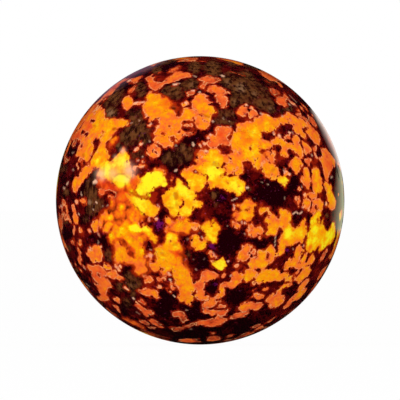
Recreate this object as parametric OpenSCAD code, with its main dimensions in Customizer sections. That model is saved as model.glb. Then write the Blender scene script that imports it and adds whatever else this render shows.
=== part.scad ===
// Polished ball of mottled stone, cue-ball size.
// The ball is one piece of rock. Its mineral grains meet the polished surface flush,
// so each grain is a solid of its own set in a pocket of the dark ground mass.
// Units are millimetres. The origin is the ball's centre, -Y faces the viewer, +Z is up.

/* [Ball] */
// Ball diameter
ball_d = 57.15; // [50:0.05:62]

/* [Grains] */
// Depth of an orange or yellow grain below the lowest point of its polished edge
grain_depth = 2; // [1:0.1:4]
// Depth of a brown feldspar patch below the lowest point of its polished edge
patch_depth = 1.4; // [0.8:0.1:4]
// Depth of a violet fleck below the lowest point of its polished edge
fleck_depth = 1; // [0.6:0.1:2]

/* [Grains of the far side] */
// Number of grain places spread evenly over the whole ball
place_count = 190; // [120:10:230]
// Half-width of the largest far-side grain
far_grain_r = 2.7; // [1.5:0.1:2.9]
// Half-width of the smallest far-side grain
far_grain_r_min = 1.5; // [0.8:0.1:1.5]
// Corners of a far-side grain's outline
far_corners = 9; // [6:1:12]
// Number that picks the far-side grains' outlines
far_pattern = 7; // [1:1:40]

/* [Hidden] */
// One sub-part per entry; "all" builds the ball in one go

ball_r = ball_d / 2;
// The front outlines are drawn for a ball of this diameter and scaled with the ball
drawn_for_d = 57.15;
plan_scale = ball_d / drawn_for_d;
// Extra height of a grain's prism above the surface, cut off flush by the ball
proud = 1;
$fn = 160;

// ---- front outlines ----
// Each outline is a list of [right, up] points on the front disc of a ball of diameter drawn_for_d

// Orange grains under the crown
crown_grains = [
    [[-10.6, 24], [-9.4, 24.4], [-8.7, 23.5], [-7.6, 23.5], [-6, 24.4], [-4.4, 25.4], [-2.8, 25],
     [-2, 24.3], [-3.6, 24.1], [-5.6, 23.3], [-7.4, 22.7], [-8.6, 22.1], [-9.9, 22.3]],
    [[-0.2, 23.8], [0.8, 24.3], [2, 24.6], [3.4, 24], [3, 23.5], [1.8, 23.5], [1.2, 23.2],
     [0.7, 22.1], [0.1, 22.6], [0.5, 23.4]],
    [[1.1, 21.5], [1.8, 22.5], [3, 22.7], [3.6, 22.1], [4.4, 21.5], [4.9, 20.8], [5.1, 20.1],
     [5.5, 19.3], [5.1, 18.3], [4.3, 18.2], [3.6, 19], [2.9, 19.8], [2.8, 20.7], [2, 21]],
    [[-1.9, 19.2], [-1.2, 20.4], [-0.2, 20.9], [1, 20.8], [1.6, 20.4], [1.4, 19.9], [2.3, 19.3],
     [2, 18.8], [2.8, 18.2], [3.2, 17.4], [2.6, 17.1], [1.9, 16.5], [0.6, 16.9], [-0.4, 17.6],
     [-1, 18.1]],
    [[-3.5, 16.9], [-2.9, 17.9], [-1.6, 17.8], [-0.7, 17.2], [-1.1, 16.4], [-1.4, 15.7],
     [-3.2, 15.8], [-3.7, 16.2]],
    [[-0.8, 16.2], [0.2, 16.6], [1.4, 16.2], [2, 15.3], [1.2, 14.2], [0.6, 13.8], [-0.1, 13.9],
     [-0.8, 14.9]],
    [[-7.9, 16.6], [-6.6, 17.6], [-5.1, 17.6], [-4.7, 16.9], [-4, 16.2], [-3.7, 14.8],
     [-4.1, 13.9], [-5, 13.3], [-5.6, 12.9], [-6.2, 12.3], [-5.3, 11.4], [-5.5, 10.7],
     [-6.5, 10.4], [-8.7, 11.4], [-8.9, 12.6], [-8.2, 14.2], [-7.9, 15.4]],
    [[-4.8, 13], [-3.9, 13.7], [-2.8, 13.2], [-3.5, 12.5], [-4.5, 11.4]],
    [[-2.7, 21], [-1.6, 21.6], [-1, 21.2], [-1.4, 20.6], [-2.4, 20.4]],
    [[-3.8, 18.6], [-2.9, 19.3], [-2.4, 19], [-2.8, 18.5], [-3.5, 18.2]],
    [[7.2, 17.4], [7.8, 18.3], [8.6, 18.6], [9, 18], [9, 17.2], [9.2, 16.5], [8.4, 16.3],
     [7.6, 16.8]],
    [[9.6, 17.6], [10.2, 18.3], [11, 17.6], [11.1, 16.7], [10.4, 16.3], [9.8, 16.5], [9.4, 16.9]]
];

// Orange grains at the upper left
upper_left_grains = [
    [[-19.3, 20.2], [-20.6, 19.2], [-22.1, 17.4], [-23.2, 15.5], [-23.3, 14.6], [-22.2, 14.3],
     [-21.5, 13], [-20.9, 12.5], [-20, 12.7], [-19.2, 13.9], [-19.5, 12.2], [-20.1, 10],
     [-20.3, 9], [-21, 8.2], [-21, 7], [-20.3, 6.4], [-19.2, 7], [-18.4, 7.8], [-17.8, 8.6],
     [-18.6, 10.4], [-18.6, 11.6], [-17.7, 13], [-16, 14], [-14.3, 14.9], [-14.2, 15.8], [-16, 16],
     [-18.6, 16.2], [-18.8, 17.6], [-19.5, 18.4]],
    [[-23.6, 14.2], [-24.4, 13.3], [-25.4, 12], [-25.2, 10.8], [-24.2, 11.5], [-23.4, 12.4],
     [-23, 13.4]],
    [[-23.1, 11.9], [-22.2, 12.4], [-21.5, 11.9], [-21.2, 10.4], [-21.3, 9.2], [-22.2, 7.7],
     [-23.3, 8.1], [-24.5, 8.9], [-23.8, 10]],
    [[-17.4, 12.4], [-16.4, 12.8], [-15.9, 11.9], [-16.6, 11.2], [-17.5, 11.3]],
    [[-15.1, 19.6], [-14.7, 20.4], [-14, 20.6], [-13.3, 20.1], [-13.1, 19], [-13.9, 17.9],
     [-14.7, 18.1]],
    [[-14, 22], [-13.4, 22.3], [-12.5, 22.8], [-12.6, 22.2], [-13.2, 21.4], [-13.9, 21.3]],
    [[-14, 23.6], [-13.2, 24.1], [-11.6, 24.5], [-12.2, 23.6], [-13.3, 23.3]],
    [[-10.3, 20.9], [-9.3, 21.5], [-8.2, 21.1], [-7.6, 20.2], [-6.6, 19.7], [-6.2, 18.3],
     [-7.4, 17.4], [-8.3, 16.3], [-9.9, 15.3], [-10.4, 16.7], [-11, 17.4], [-11.2, 18.4],
     [-10.7, 19.4]],
    [[-10.3, 10.2], [-9.6, 11], [-8.7, 10.9], [-7.9, 10], [-8.2, 8.6], [-9.4, 8.2], [-10.2, 8.8]]
];

// Orange grains at the upper right
upper_right_grains = [
    [[6.3, 13.1], [7.1, 13.9], [7, 15], [8.2, 15.4], [9.6, 15.2], [11, 15.6], [11.3, 16.3],
     [12.1, 17], [13.5, 16.7], [14.6, 15.9], [15.6, 15.2], [15, 14], [14.3, 13.5], [12.4, 13.4],
     [12, 12.4], [12.6, 11.6], [14, 11.5], [14.5, 10.7], [13.6, 10.2], [12.2, 10.3], [11.2, 9.8],
     [9.6, 10], [8, 9.8], [6.6, 10], [6.1, 11], [7, 12.2]],
    [[3, 14.1], [4.2, 14.6], [5.5, 14], [6.1, 13.6], [5.6, 12.6], [5.9, 11.6], [5.1, 10.8],
     [4.1, 11], [3.3, 10.6], [2, 10.2], [1.6, 11], [1.4, 12.2], [2.1, 13], [3.1, 12.9]],
    [[16, 16.1], [17.3, 17], [18.4, 17], [19.4, 15.9], [20.6, 14.9], [21, 14.2], [20.2, 13.9],
     [19.6, 13.2], [18.5, 13.8], [18.4, 14.8], [17.6, 15.2], [16.2, 15.3]],
    [[20.8, 13.4], [21.6, 14.3], [22.6, 13.7], [23.2, 12.9], [23.6, 12.2], [23.4, 11.1],
     [22.6, 11], [21.4, 11.8], [20.9, 12.6]],
    [[19, 16.9], [20, 17], [21, 16.6], [22.3, 15], [23.1, 13.9], [22.4, 14.1], [21.4, 14.8],
     [20.2, 15.8]],
    [[15, 19.8], [15.3, 20.6], [16, 20.4], [16.6, 21], [17.2, 20.7], [17.2, 19.9], [17, 18.6],
     [16.2, 18.8], [15.4, 19.1]],
    [[14.8, 11.7], [15.8, 12.2], [17, 11.9], [18.4, 11.2], [18.6, 12.6], [19.3, 12.4],
     [19.6, 11.2], [18.6, 10.3], [17.4, 10.6], [16.4, 11], [15.9, 11.4], [15.2, 11.4]],
    [[20.2, 11.6], [21.4, 11], [22, 10.2], [21.8, 9.3], [20.9, 9.1], [20.4, 10], [20, 10.8]],
    [[24.2, 10], [25, 10.1], [25.6, 9.2], [26.2, 7.6], [26.6, 6.4], [26.3, 5.8], [25.6, 5.6],
     [25, 4.9], [24.4, 5.6], [24.1, 7], [23.6, 8.2], [24, 9]],
    [[15.8, 9.6], [16.8, 10], [17.4, 9.4], [17.2, 8.7], [16.4, 8.8]],
    [[18.6, 9.8], [19.6, 10.4], [20.1, 9.4], [20.3, 8.6], [19.6, 8.8], [18.9, 9.1]],
    [[17.2, 7.4], [18.4, 8], [19, 8.6], [19.8, 8.2], [20.1, 7.2], [20, 6], [19, 5.2], [18.3, 5.6],
     [17.9, 6.6]],
    [[20.8, 8.8], [21.6, 8.6], [22, 7.8], [21.5, 6.9], [20.9, 7.4]]
];

// Orange grains at the left edge
left_grains = [
    [[-22.4, 7.2], [-21.6, 6.8], [-21.3, 5.8], [-22.2, 4.6], [-23.3, 3.8], [-23.9, 2.6],
     [-24.5, 1.5], [-25.1, 2], [-25.3, 3.6], [-24.7, 4.7], [-23.9, 5], [-23.9, 6.2]],
    [[-20, 4.2], [-18.6, 3.9], [-17.4, 3.4], [-16.8, 2.6], [-15.6, 2], [-15.3, 1], [-14.9, -0.4],
     [-16.2, -0.6], [-17.2, -0.4], [-17.4, 1.2], [-18.4, 2], [-18.9, 2.6], [-19.9, 2.7]],
    [[-19.9, 2.2], [-19.2, 2.2], [-18.7, 1.4], [-19.2, 0.9], [-19.9, 1.4]],
    [[-23.7, 0.4], [-22.9, 0.6], [-22.2, -0.1], [-22.5, -0.9], [-23.3, -0.6]],
    [[-25.3, -0.7], [-24.9, -0.9], [-24.6, -2.2], [-24.2, -3.2], [-24.3, -4.6], [-24.8, -4.4],
     [-25.2, -3.2], [-25.2, -1.9]],
    [[-26.4, -1.2], [-26.1, -1.8], [-25.8, -3.2], [-25.5, -4.2], [-26, -3.6], [-26.5, -2]],
    [[-25, -5.2], [-24.6, -5.4], [-24.6, -6.6], [-25, -6.4]],
    [[-24, -5.4], [-23.4, -5.6], [-23.4, -6.3], [-23.9, -6.1]],
    [[-21.3, -4.6], [-20.8, -3.9], [-20.1, -4.4], [-20, -5.4], [-20.2, -6.3], [-20.9, -6],
     [-21.5, -5.2]],
    [[-19.6, -2.9], [-18.8, -2.4], [-17.8, -2.4], [-17, -2.9], [-17.1, -3.9], [-17.3, -4.9],
     [-18.2, -6.2], [-19.2, -5.7], [-19, -4.4], [-19.5, -3.6]],
    [[-16.5, -1.3], [-15.8, -0.9], [-14.9, -0.9], [-14.7, -1.5], [-15.3, -2.7], [-16, -3],
     [-16.6, -2.2]],
    [[-22.4, -10.4], [-21.6, -9.8], [-21, -9.2], [-19.6, -9.2], [-19.1, -10.2], [-19.2, -11.4],
     [-20, -12.1], [-21, -12], [-21.8, -11.2]]
];

// Orange grains round the middle
centre_grains = [
    [[-3.8, 5.3], [-2.9, 6.2], [-1.6, 6.8], [-0.1, 6.6], [0.9, 5.8], [1.1, 4.6], [1.3, 3.6],
     [0.5, 2], [-0.5, 1.5], [-1.7, 1.8], [-2.6, 2.9], [-2.2, 3.9], [-3.2, 4.5]],
    [[0.3, 6.9], [-0.6, 7.6], [-0.9, 8.4], [-0.3, 9.4], [0.4, 9.9], [1, 9.1], [1.9, 9.8],
     [3.4, 9.9], [4.3, 9.2], [5.3, 8.6], [5.7, 7.6], [4.7, 7.1], [4.2, 6.6], [4.5, 5.9], [4.3, 5],
     [3.2, 4.7], [2, 4.7], [1.3, 5.7]],
    [[1.7, 2.5], [1.5, 3.4], [1.8, 4.3], [3, 4.4], [4.2, 4.7], [5.4, 5.2], [6.6, 5.2], [7.4, 4.9],
     [8.3, 4.3], [9.1, 3.2], [8.6, 2.1], [7.4, 0.5], [6.8, 1.2], [6.4, 1.8], [5.4, 1.5],
     [4.4, 2.3], [3.2, 2.7], [2.2, 2.3]],
    [[4.8, 6.7], [5.8, 7.2], [6.1, 8.2], [6.7, 9.4], [8.4, 9.5], [9.8, 9.7], [11.3, 9.4],
     [12, 9.9], [12.8, 9.3], [13.2, 9.8], [14.4, 9.2], [14.8, 8.2], [14.6, 7.4], [15.2, 6.4],
     [15.3, 5.2], [14.9, 4.7], [14.2, 4.4], [13.4, 4.5], [12.6, 5], [12.2, 5.8], [11.8, 6.3],
     [11, 6.8], [10.4, 7.6], [9, 7.8], [8.4, 7], [8.3, 6], [7.4, 5.5], [6.8, 5.9], [5.8, 5.6],
     [5, 6]],
    [[-6.9, -3.2], [-5.6, -3.5], [-4.6, -3.8], [-3.2, -3.8], [-2, -3.7], [-1.8, -4.6],
     [-1.9, -5.6], [-2.5, -6.3], [-3.6, -6], [-4.8, -5.9], [-5.8, -6.1], [-6.6, -5.6],
     [-6.2, -4.8], [-6.9, -4.4]],
    [[-1.9, -8.6], [-1.7, -7.2], [-1.2, -6.6], [-0.4, -6.5], [-0.1, -7.2], [0.6, -8], [1.4, -8.3],
     [1, -9.2], [0.4, -9.7], [-0.6, -9.8], [-1.4, -9.3]],
    [[-1.5, -5], [-1.1, -4.3], [-0.5, -4.4], [-0.2, -5], [-0.6, -5.7], [-1.2, -5.8]],
    [[0.5, -5], [1, -4.5], [1.8, -4.2], [1.9, -5], [2.2, -4.8], [2.5, -4.1], [3.1, -4.6],
     [3.8, -5.4], [3.5, -6.2], [2.9, -7], [2.2, -7.8], [1.6, -8], [1, -7.2], [1.1, -6.4],
     [0.9, -5.6]]
];

// Orange grains at the right edge
right_grains = [
    [[7, -0.7], [8, -1.1], [9, -0.3], [9.6, 0.2], [10.2, -0.6], [10.7, -1.6], [10.3, -2.8],
     [9.6, -3.6], [8.8, -4.2], [7.7, -3.7], [6.8, -3.2], [6.5, -2.5], [7.2, -2.1], [8.6, -2.1],
     [9.4, -1.9], [8.2, -1.6]],
    [[6.3, -4.2], [7.2, -4.3], [7.9, -4.8], [7.9, -5.3], [7, -5.6], [6.4, -5.1]],
    [[9.3, -5], [10, -4.6], [10.6, -5.6], [11.6, -5.2], [12.4, -5.8], [12.7, -6.3], [11.8, -6.4],
     [11.2, -6.9], [10.4, -7.3], [9.8, -6.6], [9.2, -6.2]],
    [[12.6, -3.6], [13.6, -3.2], [14.1, -2.6], [14.8, -3.4], [15.1, -4.6], [15.2, -5.2],
     [14.9, -6.2], [14.2, -6.9], [12.9, -6.8], [13.4, -6], [12.9, -5.6], [13.2, -4.6]],
    [[11.7, -2.2], [12.4, -1.2], [13.2, -1.6], [12.8, -2.4], [12, -2.7]],
    [[15.4, -3], [15.8, -2], [16.6, -2.1], [17.2, -2.4], [17.9, -3.4], [17.7, -4.2], [17.2, -4.5],
     [16.2, -4.7], [15.4, -4]],
    [[20.6, 6.4], [21.2, 5.6], [21.7, 4.2], [21.7, 2.9], [21.2, 2.2], [20.4, 2.8], [19.8, 3.8],
     [20, 5]],
    [[22.2, 6.4], [23, 6.9], [23.6, 5.8], [23.5, 4.8], [24.1, 3.8], [24.2, 2.6], [24, 1.7],
     [23.2, 1.3], [22.6, 1.8], [22.2, 2.8], [22.2, 4.4], [22, 5.6]],
    [[24.5, 3.8], [25.2, 3.9], [25.6, 3.2], [26, 2.4], [26.2, 1.2], [26.7, 0.4], [26.8, -0.8],
     [26.2, -1.9], [25.5, -1.6], [25.1, -0.6], [25.1, 0.8], [24.6, 1.8], [24.5, 2.8]],
    [[20.3, 0.2], [21.4, 0.3], [22, -0.2], [22.8, 0], [23.4, 0.2], [24.1, -0.8], [24.1, -2],
     [23.6, -3.2], [23.4, -4.6], [22.8, -4.4], [22.3, -3.2], [22.8, -2.2], [22.8, -1.2],
     [22.2, -2.4], [21.3, -1.9], [20.4, -0.8]],
    [[21.2, 1.8], [22, 1.6], [22.8, 1], [22.9, 0.4], [22.4, 0.2], [21.7, 0.8]],
    [[15.6, 4.4], [16.2, 4.9], [16.9, 4.9], [17.6, 4.1], [16.9, 3.2], [16.5, 2.5], [16, 3.2],
     [15.7, 3.7]],
    [[18.7, 0.6], [19.3, 0.8], [19.7, 0.2], [19.5, -1], [19, -0.4]],
    [[19, 2.2], [19.4, 3], [19.8, 2.2], [19.5, 1.8]]
];

// Orange grains at the lower left
lower_left_grains = [
    [[-17.6, -6.6], [-16.7, -7.5], [-15.6, -8.4], [-14.6, -9.4], [-13.8, -10.6], [-13.2, -11.4],
     [-12, -11.6], [-10.9, -11.9], [-11, -12.4], [-10.4, -13.4], [-10.4, -14.4], [-11.6, -14.6],
     [-12.9, -13.8], [-12.4, -13.2], [-13.6, -12.4], [-15.2, -12.2], [-16.8, -12.3], [-17, -10.6],
     [-17.4, -9], [-17.9, -7.8]],
    [[-14, -9.1], [-12.7, -9.3], [-11.7, -9.1], [-11.2, -10.2], [-11.6, -11], [-12.8, -10.9],
     [-13.4, -10.2]],
    [[-22.3, -13.1], [-21.2, -13.2], [-20.3, -12.8], [-19.3, -13.5], [-18.5, -14.8],
     [-17.9, -15.6], [-17.2, -16.6], [-17.5, -17], [-18.4, -16.7], [-19.6, -16.1], [-20.8, -15.2],
     [-21.6, -14.3]],
    [[-20.6, -16.6], [-19.6, -16.7], [-18.4, -17.1], [-18.6, -18], [-18.3, -19], [-18.2, -19.7],
     [-19.2, -19], [-19.8, -18]],
    [[-20.6, -19], [-19.4, -19.3], [-18.4, -20], [-18.8, -20.4], [-19.8, -19.9]],
    [[-19.1, -12.8], [-18.6, -12.4], [-17.8, -12.8], [-17.4, -13.5], [-18.2, -13.8], [-18.9, -13.4]],
    [[-17, -13.7], [-16.4, -14], [-15.8, -14.8], [-15.3, -15.2], [-15.8, -15.7], [-16.6, -15.4],
     [-17.4, -15.6], [-18, -14.7], [-17.6, -14.1]],
    [[-15, -16.9], [-14.5, -17], [-14.1, -17.5], [-14.4, -17.8], [-14.9, -17.4]],
    [[-17.2, -19.3], [-16.4, -19.2], [-15.7, -19.7], [-15.8, -20.3], [-16.6, -20]],
    [[-17.3, -20.5], [-16.7, -20.6], [-15.9, -21.6], [-16.2, -21.8]],
    [[-12.4, -17.6], [-11.4, -17.3], [-10.6, -17.5], [-9.6, -17.4], [-8.4, -17.8], [-8.1, -18.6],
     [-8.4, -19.4], [-9.4, -19.2], [-10.6, -18.6], [-11.6, -18.3]],
    [[-10.8, -15.6], [-9.9, -15.1], [-9.1, -15.6], [-9.4, -16.1], [-10.2, -16.4]],
    [[-12.9, -19.9], [-12.2, -20.2], [-11.4, -20.9], [-10.6, -21.5], [-9.6, -21.6], [-9.2, -22.2],
     [-9.6, -22.6], [-10.6, -22.9], [-11.4, -22.2], [-12, -21.4], [-12.9, -20.8]],
    [[-12, -19.5], [-11.4, -19.9], [-10.8, -19.8], [-10.8, -20.4], [-11.3, -20.7], [-11.8, -20.2]],
    [[-11.8, -23.6], [-11, -23.8], [-10.1, -24.3], [-10.6, -24.6], [-11.5, -24.2]],
    [[-9.8, -23.4], [-9, -23.5], [-8, -24.2], [-7.3, -24.5], [-8.2, -24.7], [-9.4, -24.4]],
    [[-15.2, -23], [-13.6, -23.4], [-12.2, -24.4], [-12.8, -24.7], [-14.2, -24.1]],
    [[-10.9, -10.8], [-10.2, -10.9], [-9.8, -10.4], [-9.4, -10.9], [-9.6, -11.3], [-10.4, -11.2]],
    [[-16.8, -12.7], [-16.2, -12.8], [-15.5, -13], [-15.9, -13.4], [-15.8, -13.9], [-16.6, -13.3]]
];

// Orange grains near the base
base_grains = [
    [[-3.9, -12], [-3.3, -12.4], [-2.8, -13.3], [-2.1, -13.9], [-1.8, -14.8], [-1.5, -16],
     [-0.8, -16.5], [0, -16], [0.2, -14.8], [0.5, -14], [0.9, -13.7], [2, -13.8], [2.9, -14.2],
     [3.8, -14.6], [3.4, -15.1], [2, -15.3], [1, -15.9], [0.8, -17], [0.4, -17.7], [-0.4, -17.8],
     [-0.8, -17.6], [-1.4, -17.8], [-1.3, -19.2], [-2.2, -20.4], [-2.6, -20.4], [-3.2, -19.8],
     [-4.4, -19.4], [-4.2, -18.2], [-4.9, -16.4], [-4.6, -15.4], [-5.3, -14.4], [-5.1, -13]],
    [[-0.7, -18.2], [0.6, -18], [1.2, -18.3], [1.7, -18.8], [1, -19.2], [0.2, -19.6],
     [-0.4, -19.9], [-1, -19.7], [-0.8, -19]],
    [[4.1, -19.2], [3, -19.1], [3.6, -18.4], [3.8, -17.2], [4.2, -16.4], [5.1, -15.9],
     [5.9, -16.3], [6.8, -15.8], [8, -15.7], [7.7, -16.3], [6.8, -16.8], [6, -17.2], [5, -17],
     [4.6, -17.5], [4.8, -18.4]],
    [[0.3, -20.9], [0.8, -19.9], [1.6, -19.4], [2.8, -19.4], [3.6, -19.7], [3.1, -20.5],
     [2, -20.9], [1.2, -21.1], [1.4, -21.5], [3.2, -21.6], [5.4, -21.7], [5.3, -22.5],
     [4.3, -22.6], [3.4, -22.3], [2.2, -22.4], [1.2, -22.2], [0.4, -21.7]],
    [[-0.6, -24.3], [0, -23.8], [1.6, -23.6], [3, -23.2], [3.7, -22.8], [4.6, -23.3], [5.4, -23.5],
     [4.6, -24.2], [3.2, -24.5], [1.8, -24.7], [0.4, -24.5]],
    [[-5.7, -25.2], [-4.6, -25.1], [-3, -24.8], [-1.1, -24.1], [-1.5, -24.7], [-2.8, -25.2],
     [-3.8, -25.7], [-5.1, -25.8]],
    [[-5.4, -22.6], [-4.6, -21.9], [-3.6, -21.8], [-3.1, -22.6], [-2.5, -23.7], [-3.2, -24],
     [-3.7, -23.4], [-4.3, -22.5], [-4.9, -23.1]],
    [[-8.5, -15.3], [-7.2, -15.1], [-6.8, -15.4], [-7.4, -16], [-8.2, -15.8]],
    [[-5.8, -16.3], [-5.4, -16], [-5, -17.2], [-5.6, -17.5], [-6, -17]],
    [[-8.4, -16.9], [-7.9, -16.6], [-7.5, -17.1], [-8, -17.5]],
    [[1.6, -10.5], [2, -10.2], [2.6, -10.8], [3.2, -11.2], [2.4, -11.4], [2.1, -10.9]],
    [[6.7, -13], [7.2, -12.6], [7.7, -12.8], [7.4, -13.5], [6.9, -13.3]],
    [[4, -14.9], [4.6, -14.4], [5.1, -14.3], [4.8, -15], [4.2, -15.2]],
    [[6.3, -14.6], [6.9, -14], [8, -14.3], [8.2, -14.9], [7.6, -15.4], [6.4, -15.3]],
    [[3.6, -20.9], [4.2, -20.4], [4.9, -20.5], [5, -20.8], [4.4, -21.1]],
    [[1.5, -27], [2.4, -26.6], [3.8, -26.6], [3.9, -27], [2.6, -27.4]]
];

// Orange grains at the lower right
lower_right_grains = [
    [[8.2, -9.3], [9.4, -9], [10.1, -9.3], [9.6, -10.2], [10, -10.9], [9.4, -11.8], [8.6, -12],
     [7.6, -11.5], [7.4, -10.8], [8, -10]],
    [[10.4, -9.4], [11, -9.2], [11, -10.2], [10.6, -10.9], [10.2, -10.3]],
    [[9.6, -12.4], [10.2, -11.6], [11.4, -11.1], [11.7, -9.9], [13, -10], [13.2, -8.9],
     [14.4, -8.8], [14.6, -10], [15.2, -11], [14.4, -11.8], [13.6, -12.5], [12.6, -13.3],
     [11.6, -13.5], [10.4, -13.4]],
    [[8.5, -14.6], [9.2, -13.9], [10.2, -13.8], [11, -14], [11.6, -14.4], [11, -14.9],
     [10.3, -15.2], [9.9, -15.9], [9, -16.1], [8.5, -15.6]],
    [[12, -14.5], [12.6, -13.9], [14, -13.8], [15.4, -13.9], [16, -14.6], [16.8, -14.2],
     [17.2, -14.5], [16.6, -15], [16, -15.7], [14.6, -15.8], [13.2, -15.9], [12.4, -15.9],
     [11.8, -16.6], [10.9, -15.8], [11.4, -15.1]],
    [[16.8, -15.2], [17.4, -14.8], [18, -15.2], [18, -16], [17.2, -16.1], [16.8, -15.8]],
    [[15.8, -17], [16.4, -16.5], [17.6, -16.5], [18.2, -16.3], [17.8, -16.9], [17, -17.1],
     [16.3, -17.3], [15.9, -17.6]],
    [[12.5, -17.5], [13.2, -17], [13.7, -17.2], [13.1, -17.9]],
    [[10, -19], [10.4, -18.4], [11.2, -18.1], [11.8, -18.7], [12.6, -18.8], [12.3, -19.3],
     [11.4, -19.7], [10.9, -19.4]],
    [[13.1, -19.6], [13.8, -18.5], [14.5, -18.3], [15, -18], [15.6, -17.9], [15.9, -18.6],
     [16.7, -18.8], [16.6, -19.6], [15.8, -20.6], [14.6, -21.1], [13.6, -21.2], [14, -20.6],
     [13.4, -20.5]],
    [[17.2, -12.4], [17.7, -11.6], [18.5, -12.2], [19.4, -12.4], [20.2, -11.6], [20.8, -10.3],
     [21, -11.4], [20.6, -12.6], [20, -13.3], [19, -13.5], [18.2, -13.1], [17.4, -13.3],
     [17.2, -13.8], [16.4, -13.3]],
    [[18.3, -11.6], [18.9, -10.2], [19.4, -8.9], [20.2, -9.6], [20.2, -10], [19.8, -11],
     [19.3, -12], [18.8, -11.9]],
    [[20.9, -12.6], [21.4, -11.4], [21.9, -10.6], [22.6, -11.4], [22.3, -12.1], [21.4, -12.7]],
    [[18.5, -15.5], [19.4, -15], [20.2, -13.9], [21.2, -13.1], [21.8, -13.6], [21.6, -14.6],
     [20.6, -15.4], [19.6, -16.3], [19, -15.9]],
    [[19.3, -17.4], [20.2, -16.4], [21.2, -15.3], [21.3, -15.9], [20.6, -16.9], [19.9, -17.6]],
    [[18, -19.4], [19, -18.7], [19.8, -17.9], [20.2, -18.2], [19.9, -19], [19, -19.8],
     [18.2, -19.8], [17.4, -20.8], [16.7, -21.4], [16.4, -21.2], [17.2, -20.4]],
    [[7.4, -21.3], [8.2, -20.6], [9, -20], [10.2, -20], [10.8, -20.4], [11.6, -20.1],
     [12.4, -20.6], [11.7, -21.4], [11, -21.6], [10.2, -21.4], [9.4, -21.8], [8.6, -22], [8, -21.6]],
    [[6, -23.2], [7, -22.6], [8.2, -22.3], [9.8, -22.1], [9, -22.8], [8, -23.1], [6.8, -23.5]],
    [[23.2, -15.4], [23.6, -14.4], [24.6, -13.2], [24.4, -14.2], [23.6, -15.5]]
];

// Yellow grains at the left
left_yellows = [
    [[-20.1, 5.3], [-19.9, 6.1], [-18.8, 6.8], [-17.3, 7.9], [-16.2, 9.4], [-15.1, 10.2],
     [-14.4, 8.8], [-13.8, 7], [-13.2, 5.2], [-14, 4.9], [-15.2, 5.5], [-16.6, 5.1], [-17.5, 4.1],
     [-18.6, 4.3]],
    [[-17, 3.9], [-16.3, 4.8], [-15.2, 5.1], [-14.3, 4.7], [-14.2, 3.7], [-14.9, 2.7],
     [-15.7, 2.4], [-16.6, 3]],
    [[-12.9, 2.2], [-12.2, 3.4], [-11.6, 4.6], [-10, 5.1], [-8, 5], [-6.9, 4.3], [-6.5, 3.2],
     [-6.8, 2.8], [-7.9, 3], [-8.8, 2.2], [-9.6, 1.6], [-11, 0.9], [-12.4, 1.4]],
    [[-15, 1.4], [-13.6, 1.3], [-12, 0.6], [-10.4, 0.1], [-9.6, -0.6], [-8.4, -1.9], [-8.9, -2.8],
     [-10.2, -3], [-11.8, -2.2], [-13.4, -0.9], [-14.6, -0.2]],
    [[-16, -4], [-14.8, -3.8], [-13.6, -3.4], [-12.4, -3.3], [-12.1, -4.6], [-12.3, -5.2],
     [-11.6, -5.7], [-10.6, -5], [-9.6, -5.5], [-9, -7.2], [-8.6, -8.4], [-9.6, -7.8],
     [-11.2, -7.6], [-11.8, -8.7], [-13.6, -8.7], [-15, -8], [-16.2, -7.1], [-17, -5.8]]
];

// Yellow grains round the middle
centre_yellows = [
    [[-4.7, 3.9], [-3.9, 3.8], [-2.9, 2.6], [-2, 1.6], [-1.1, 1], [-0.6, 0.6], [-1.2, 0],
     [-2.2, -0.3], [-3.2, -0.4], [-3.9, -1], [-4.4, -2], [-4.3, -3], [-4.8, -3.4], [-5.6, -2.8],
     [-7.6, -2.9], [-7.2, -1.9], [-6.8, -1], [-7.3, 0.2], [-6.9, 1], [-5.8, 2], [-4.9, 2.8]],
    [[-0.9, -0.3], [0.2, -0.1], [0.6, -0.8], [0.1, -1.5], [-1.4, -1.8], [-1.7, -2.8], [-2.6, -3.5],
     [-3.5, -3.2], [-3.9, -2.4], [-3.6, -1.6], [-2.8, -0.9], [-1.8, -0.8]],
    [[-6.6, -6.3], [-5.2, -6.3], [-4.5, -6.9], [-4.2, -8.2], [-3.5, -9.4], [-4, -10.4],
     [-4.1, -11.6], [-5.4, -12.3], [-6.4, -13], [-7.6, -13.3], [-8.8, -13.8], [-9.9, -13],
     [-9.2, -12], [-8.8, -10.6], [-8.9, -9.4], [-7.6, -8.9], [-6.8, -8.2]]
];

// Yellow grains at the right edge
right_yellows = [
    [[16, -5], [17.4, -4.9], [18.3, -5.4], [18.5, -6.4], [18.9, -7.8], [18.2, -9], [17.2, -8.8],
     [16.7, -9.9], [15.7, -10.3], [15.2, -9.4], [15.6, -7.8], [16.2, -6.6]],
    [[18.8, -5.4], [19.6, -4.8], [20.6, -3.9], [20.9, -5], [20.7, -6.4], [20.2, -7.6],
     [19.9, -8.3], [19.3, -7.6], [18.8, -6.4]],
    [[22, -3.6], [22.6, -4.7], [23.6, -4.9], [24.1, -5.4], [24.4, -6.4], [23.8, -8], [23.2, -9.6],
     [22.2, -10], [21, -9.4], [21.2, -8.2], [21.4, -7.2], [21.5, -5.6], [21.8, -4.4]],
    [[25.2, -5.6], [26.2, -4.8], [26.4, -5.8], [26.2, -7.2], [25.6, -8.2], [24.6, -9.2],
     [23.8, -9.6], [24, -8.4], [24.6, -7.2], [25.2, -6.4]]
];

// Pale yellow chip below the middle
chip_outline = [
    [[2.2, -12.7], [3.2, -12], [4.4, -11.4], [4.9, -12], [5, -12.7], [4.2, -13.9], [3.2, -13.4]]
];

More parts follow.
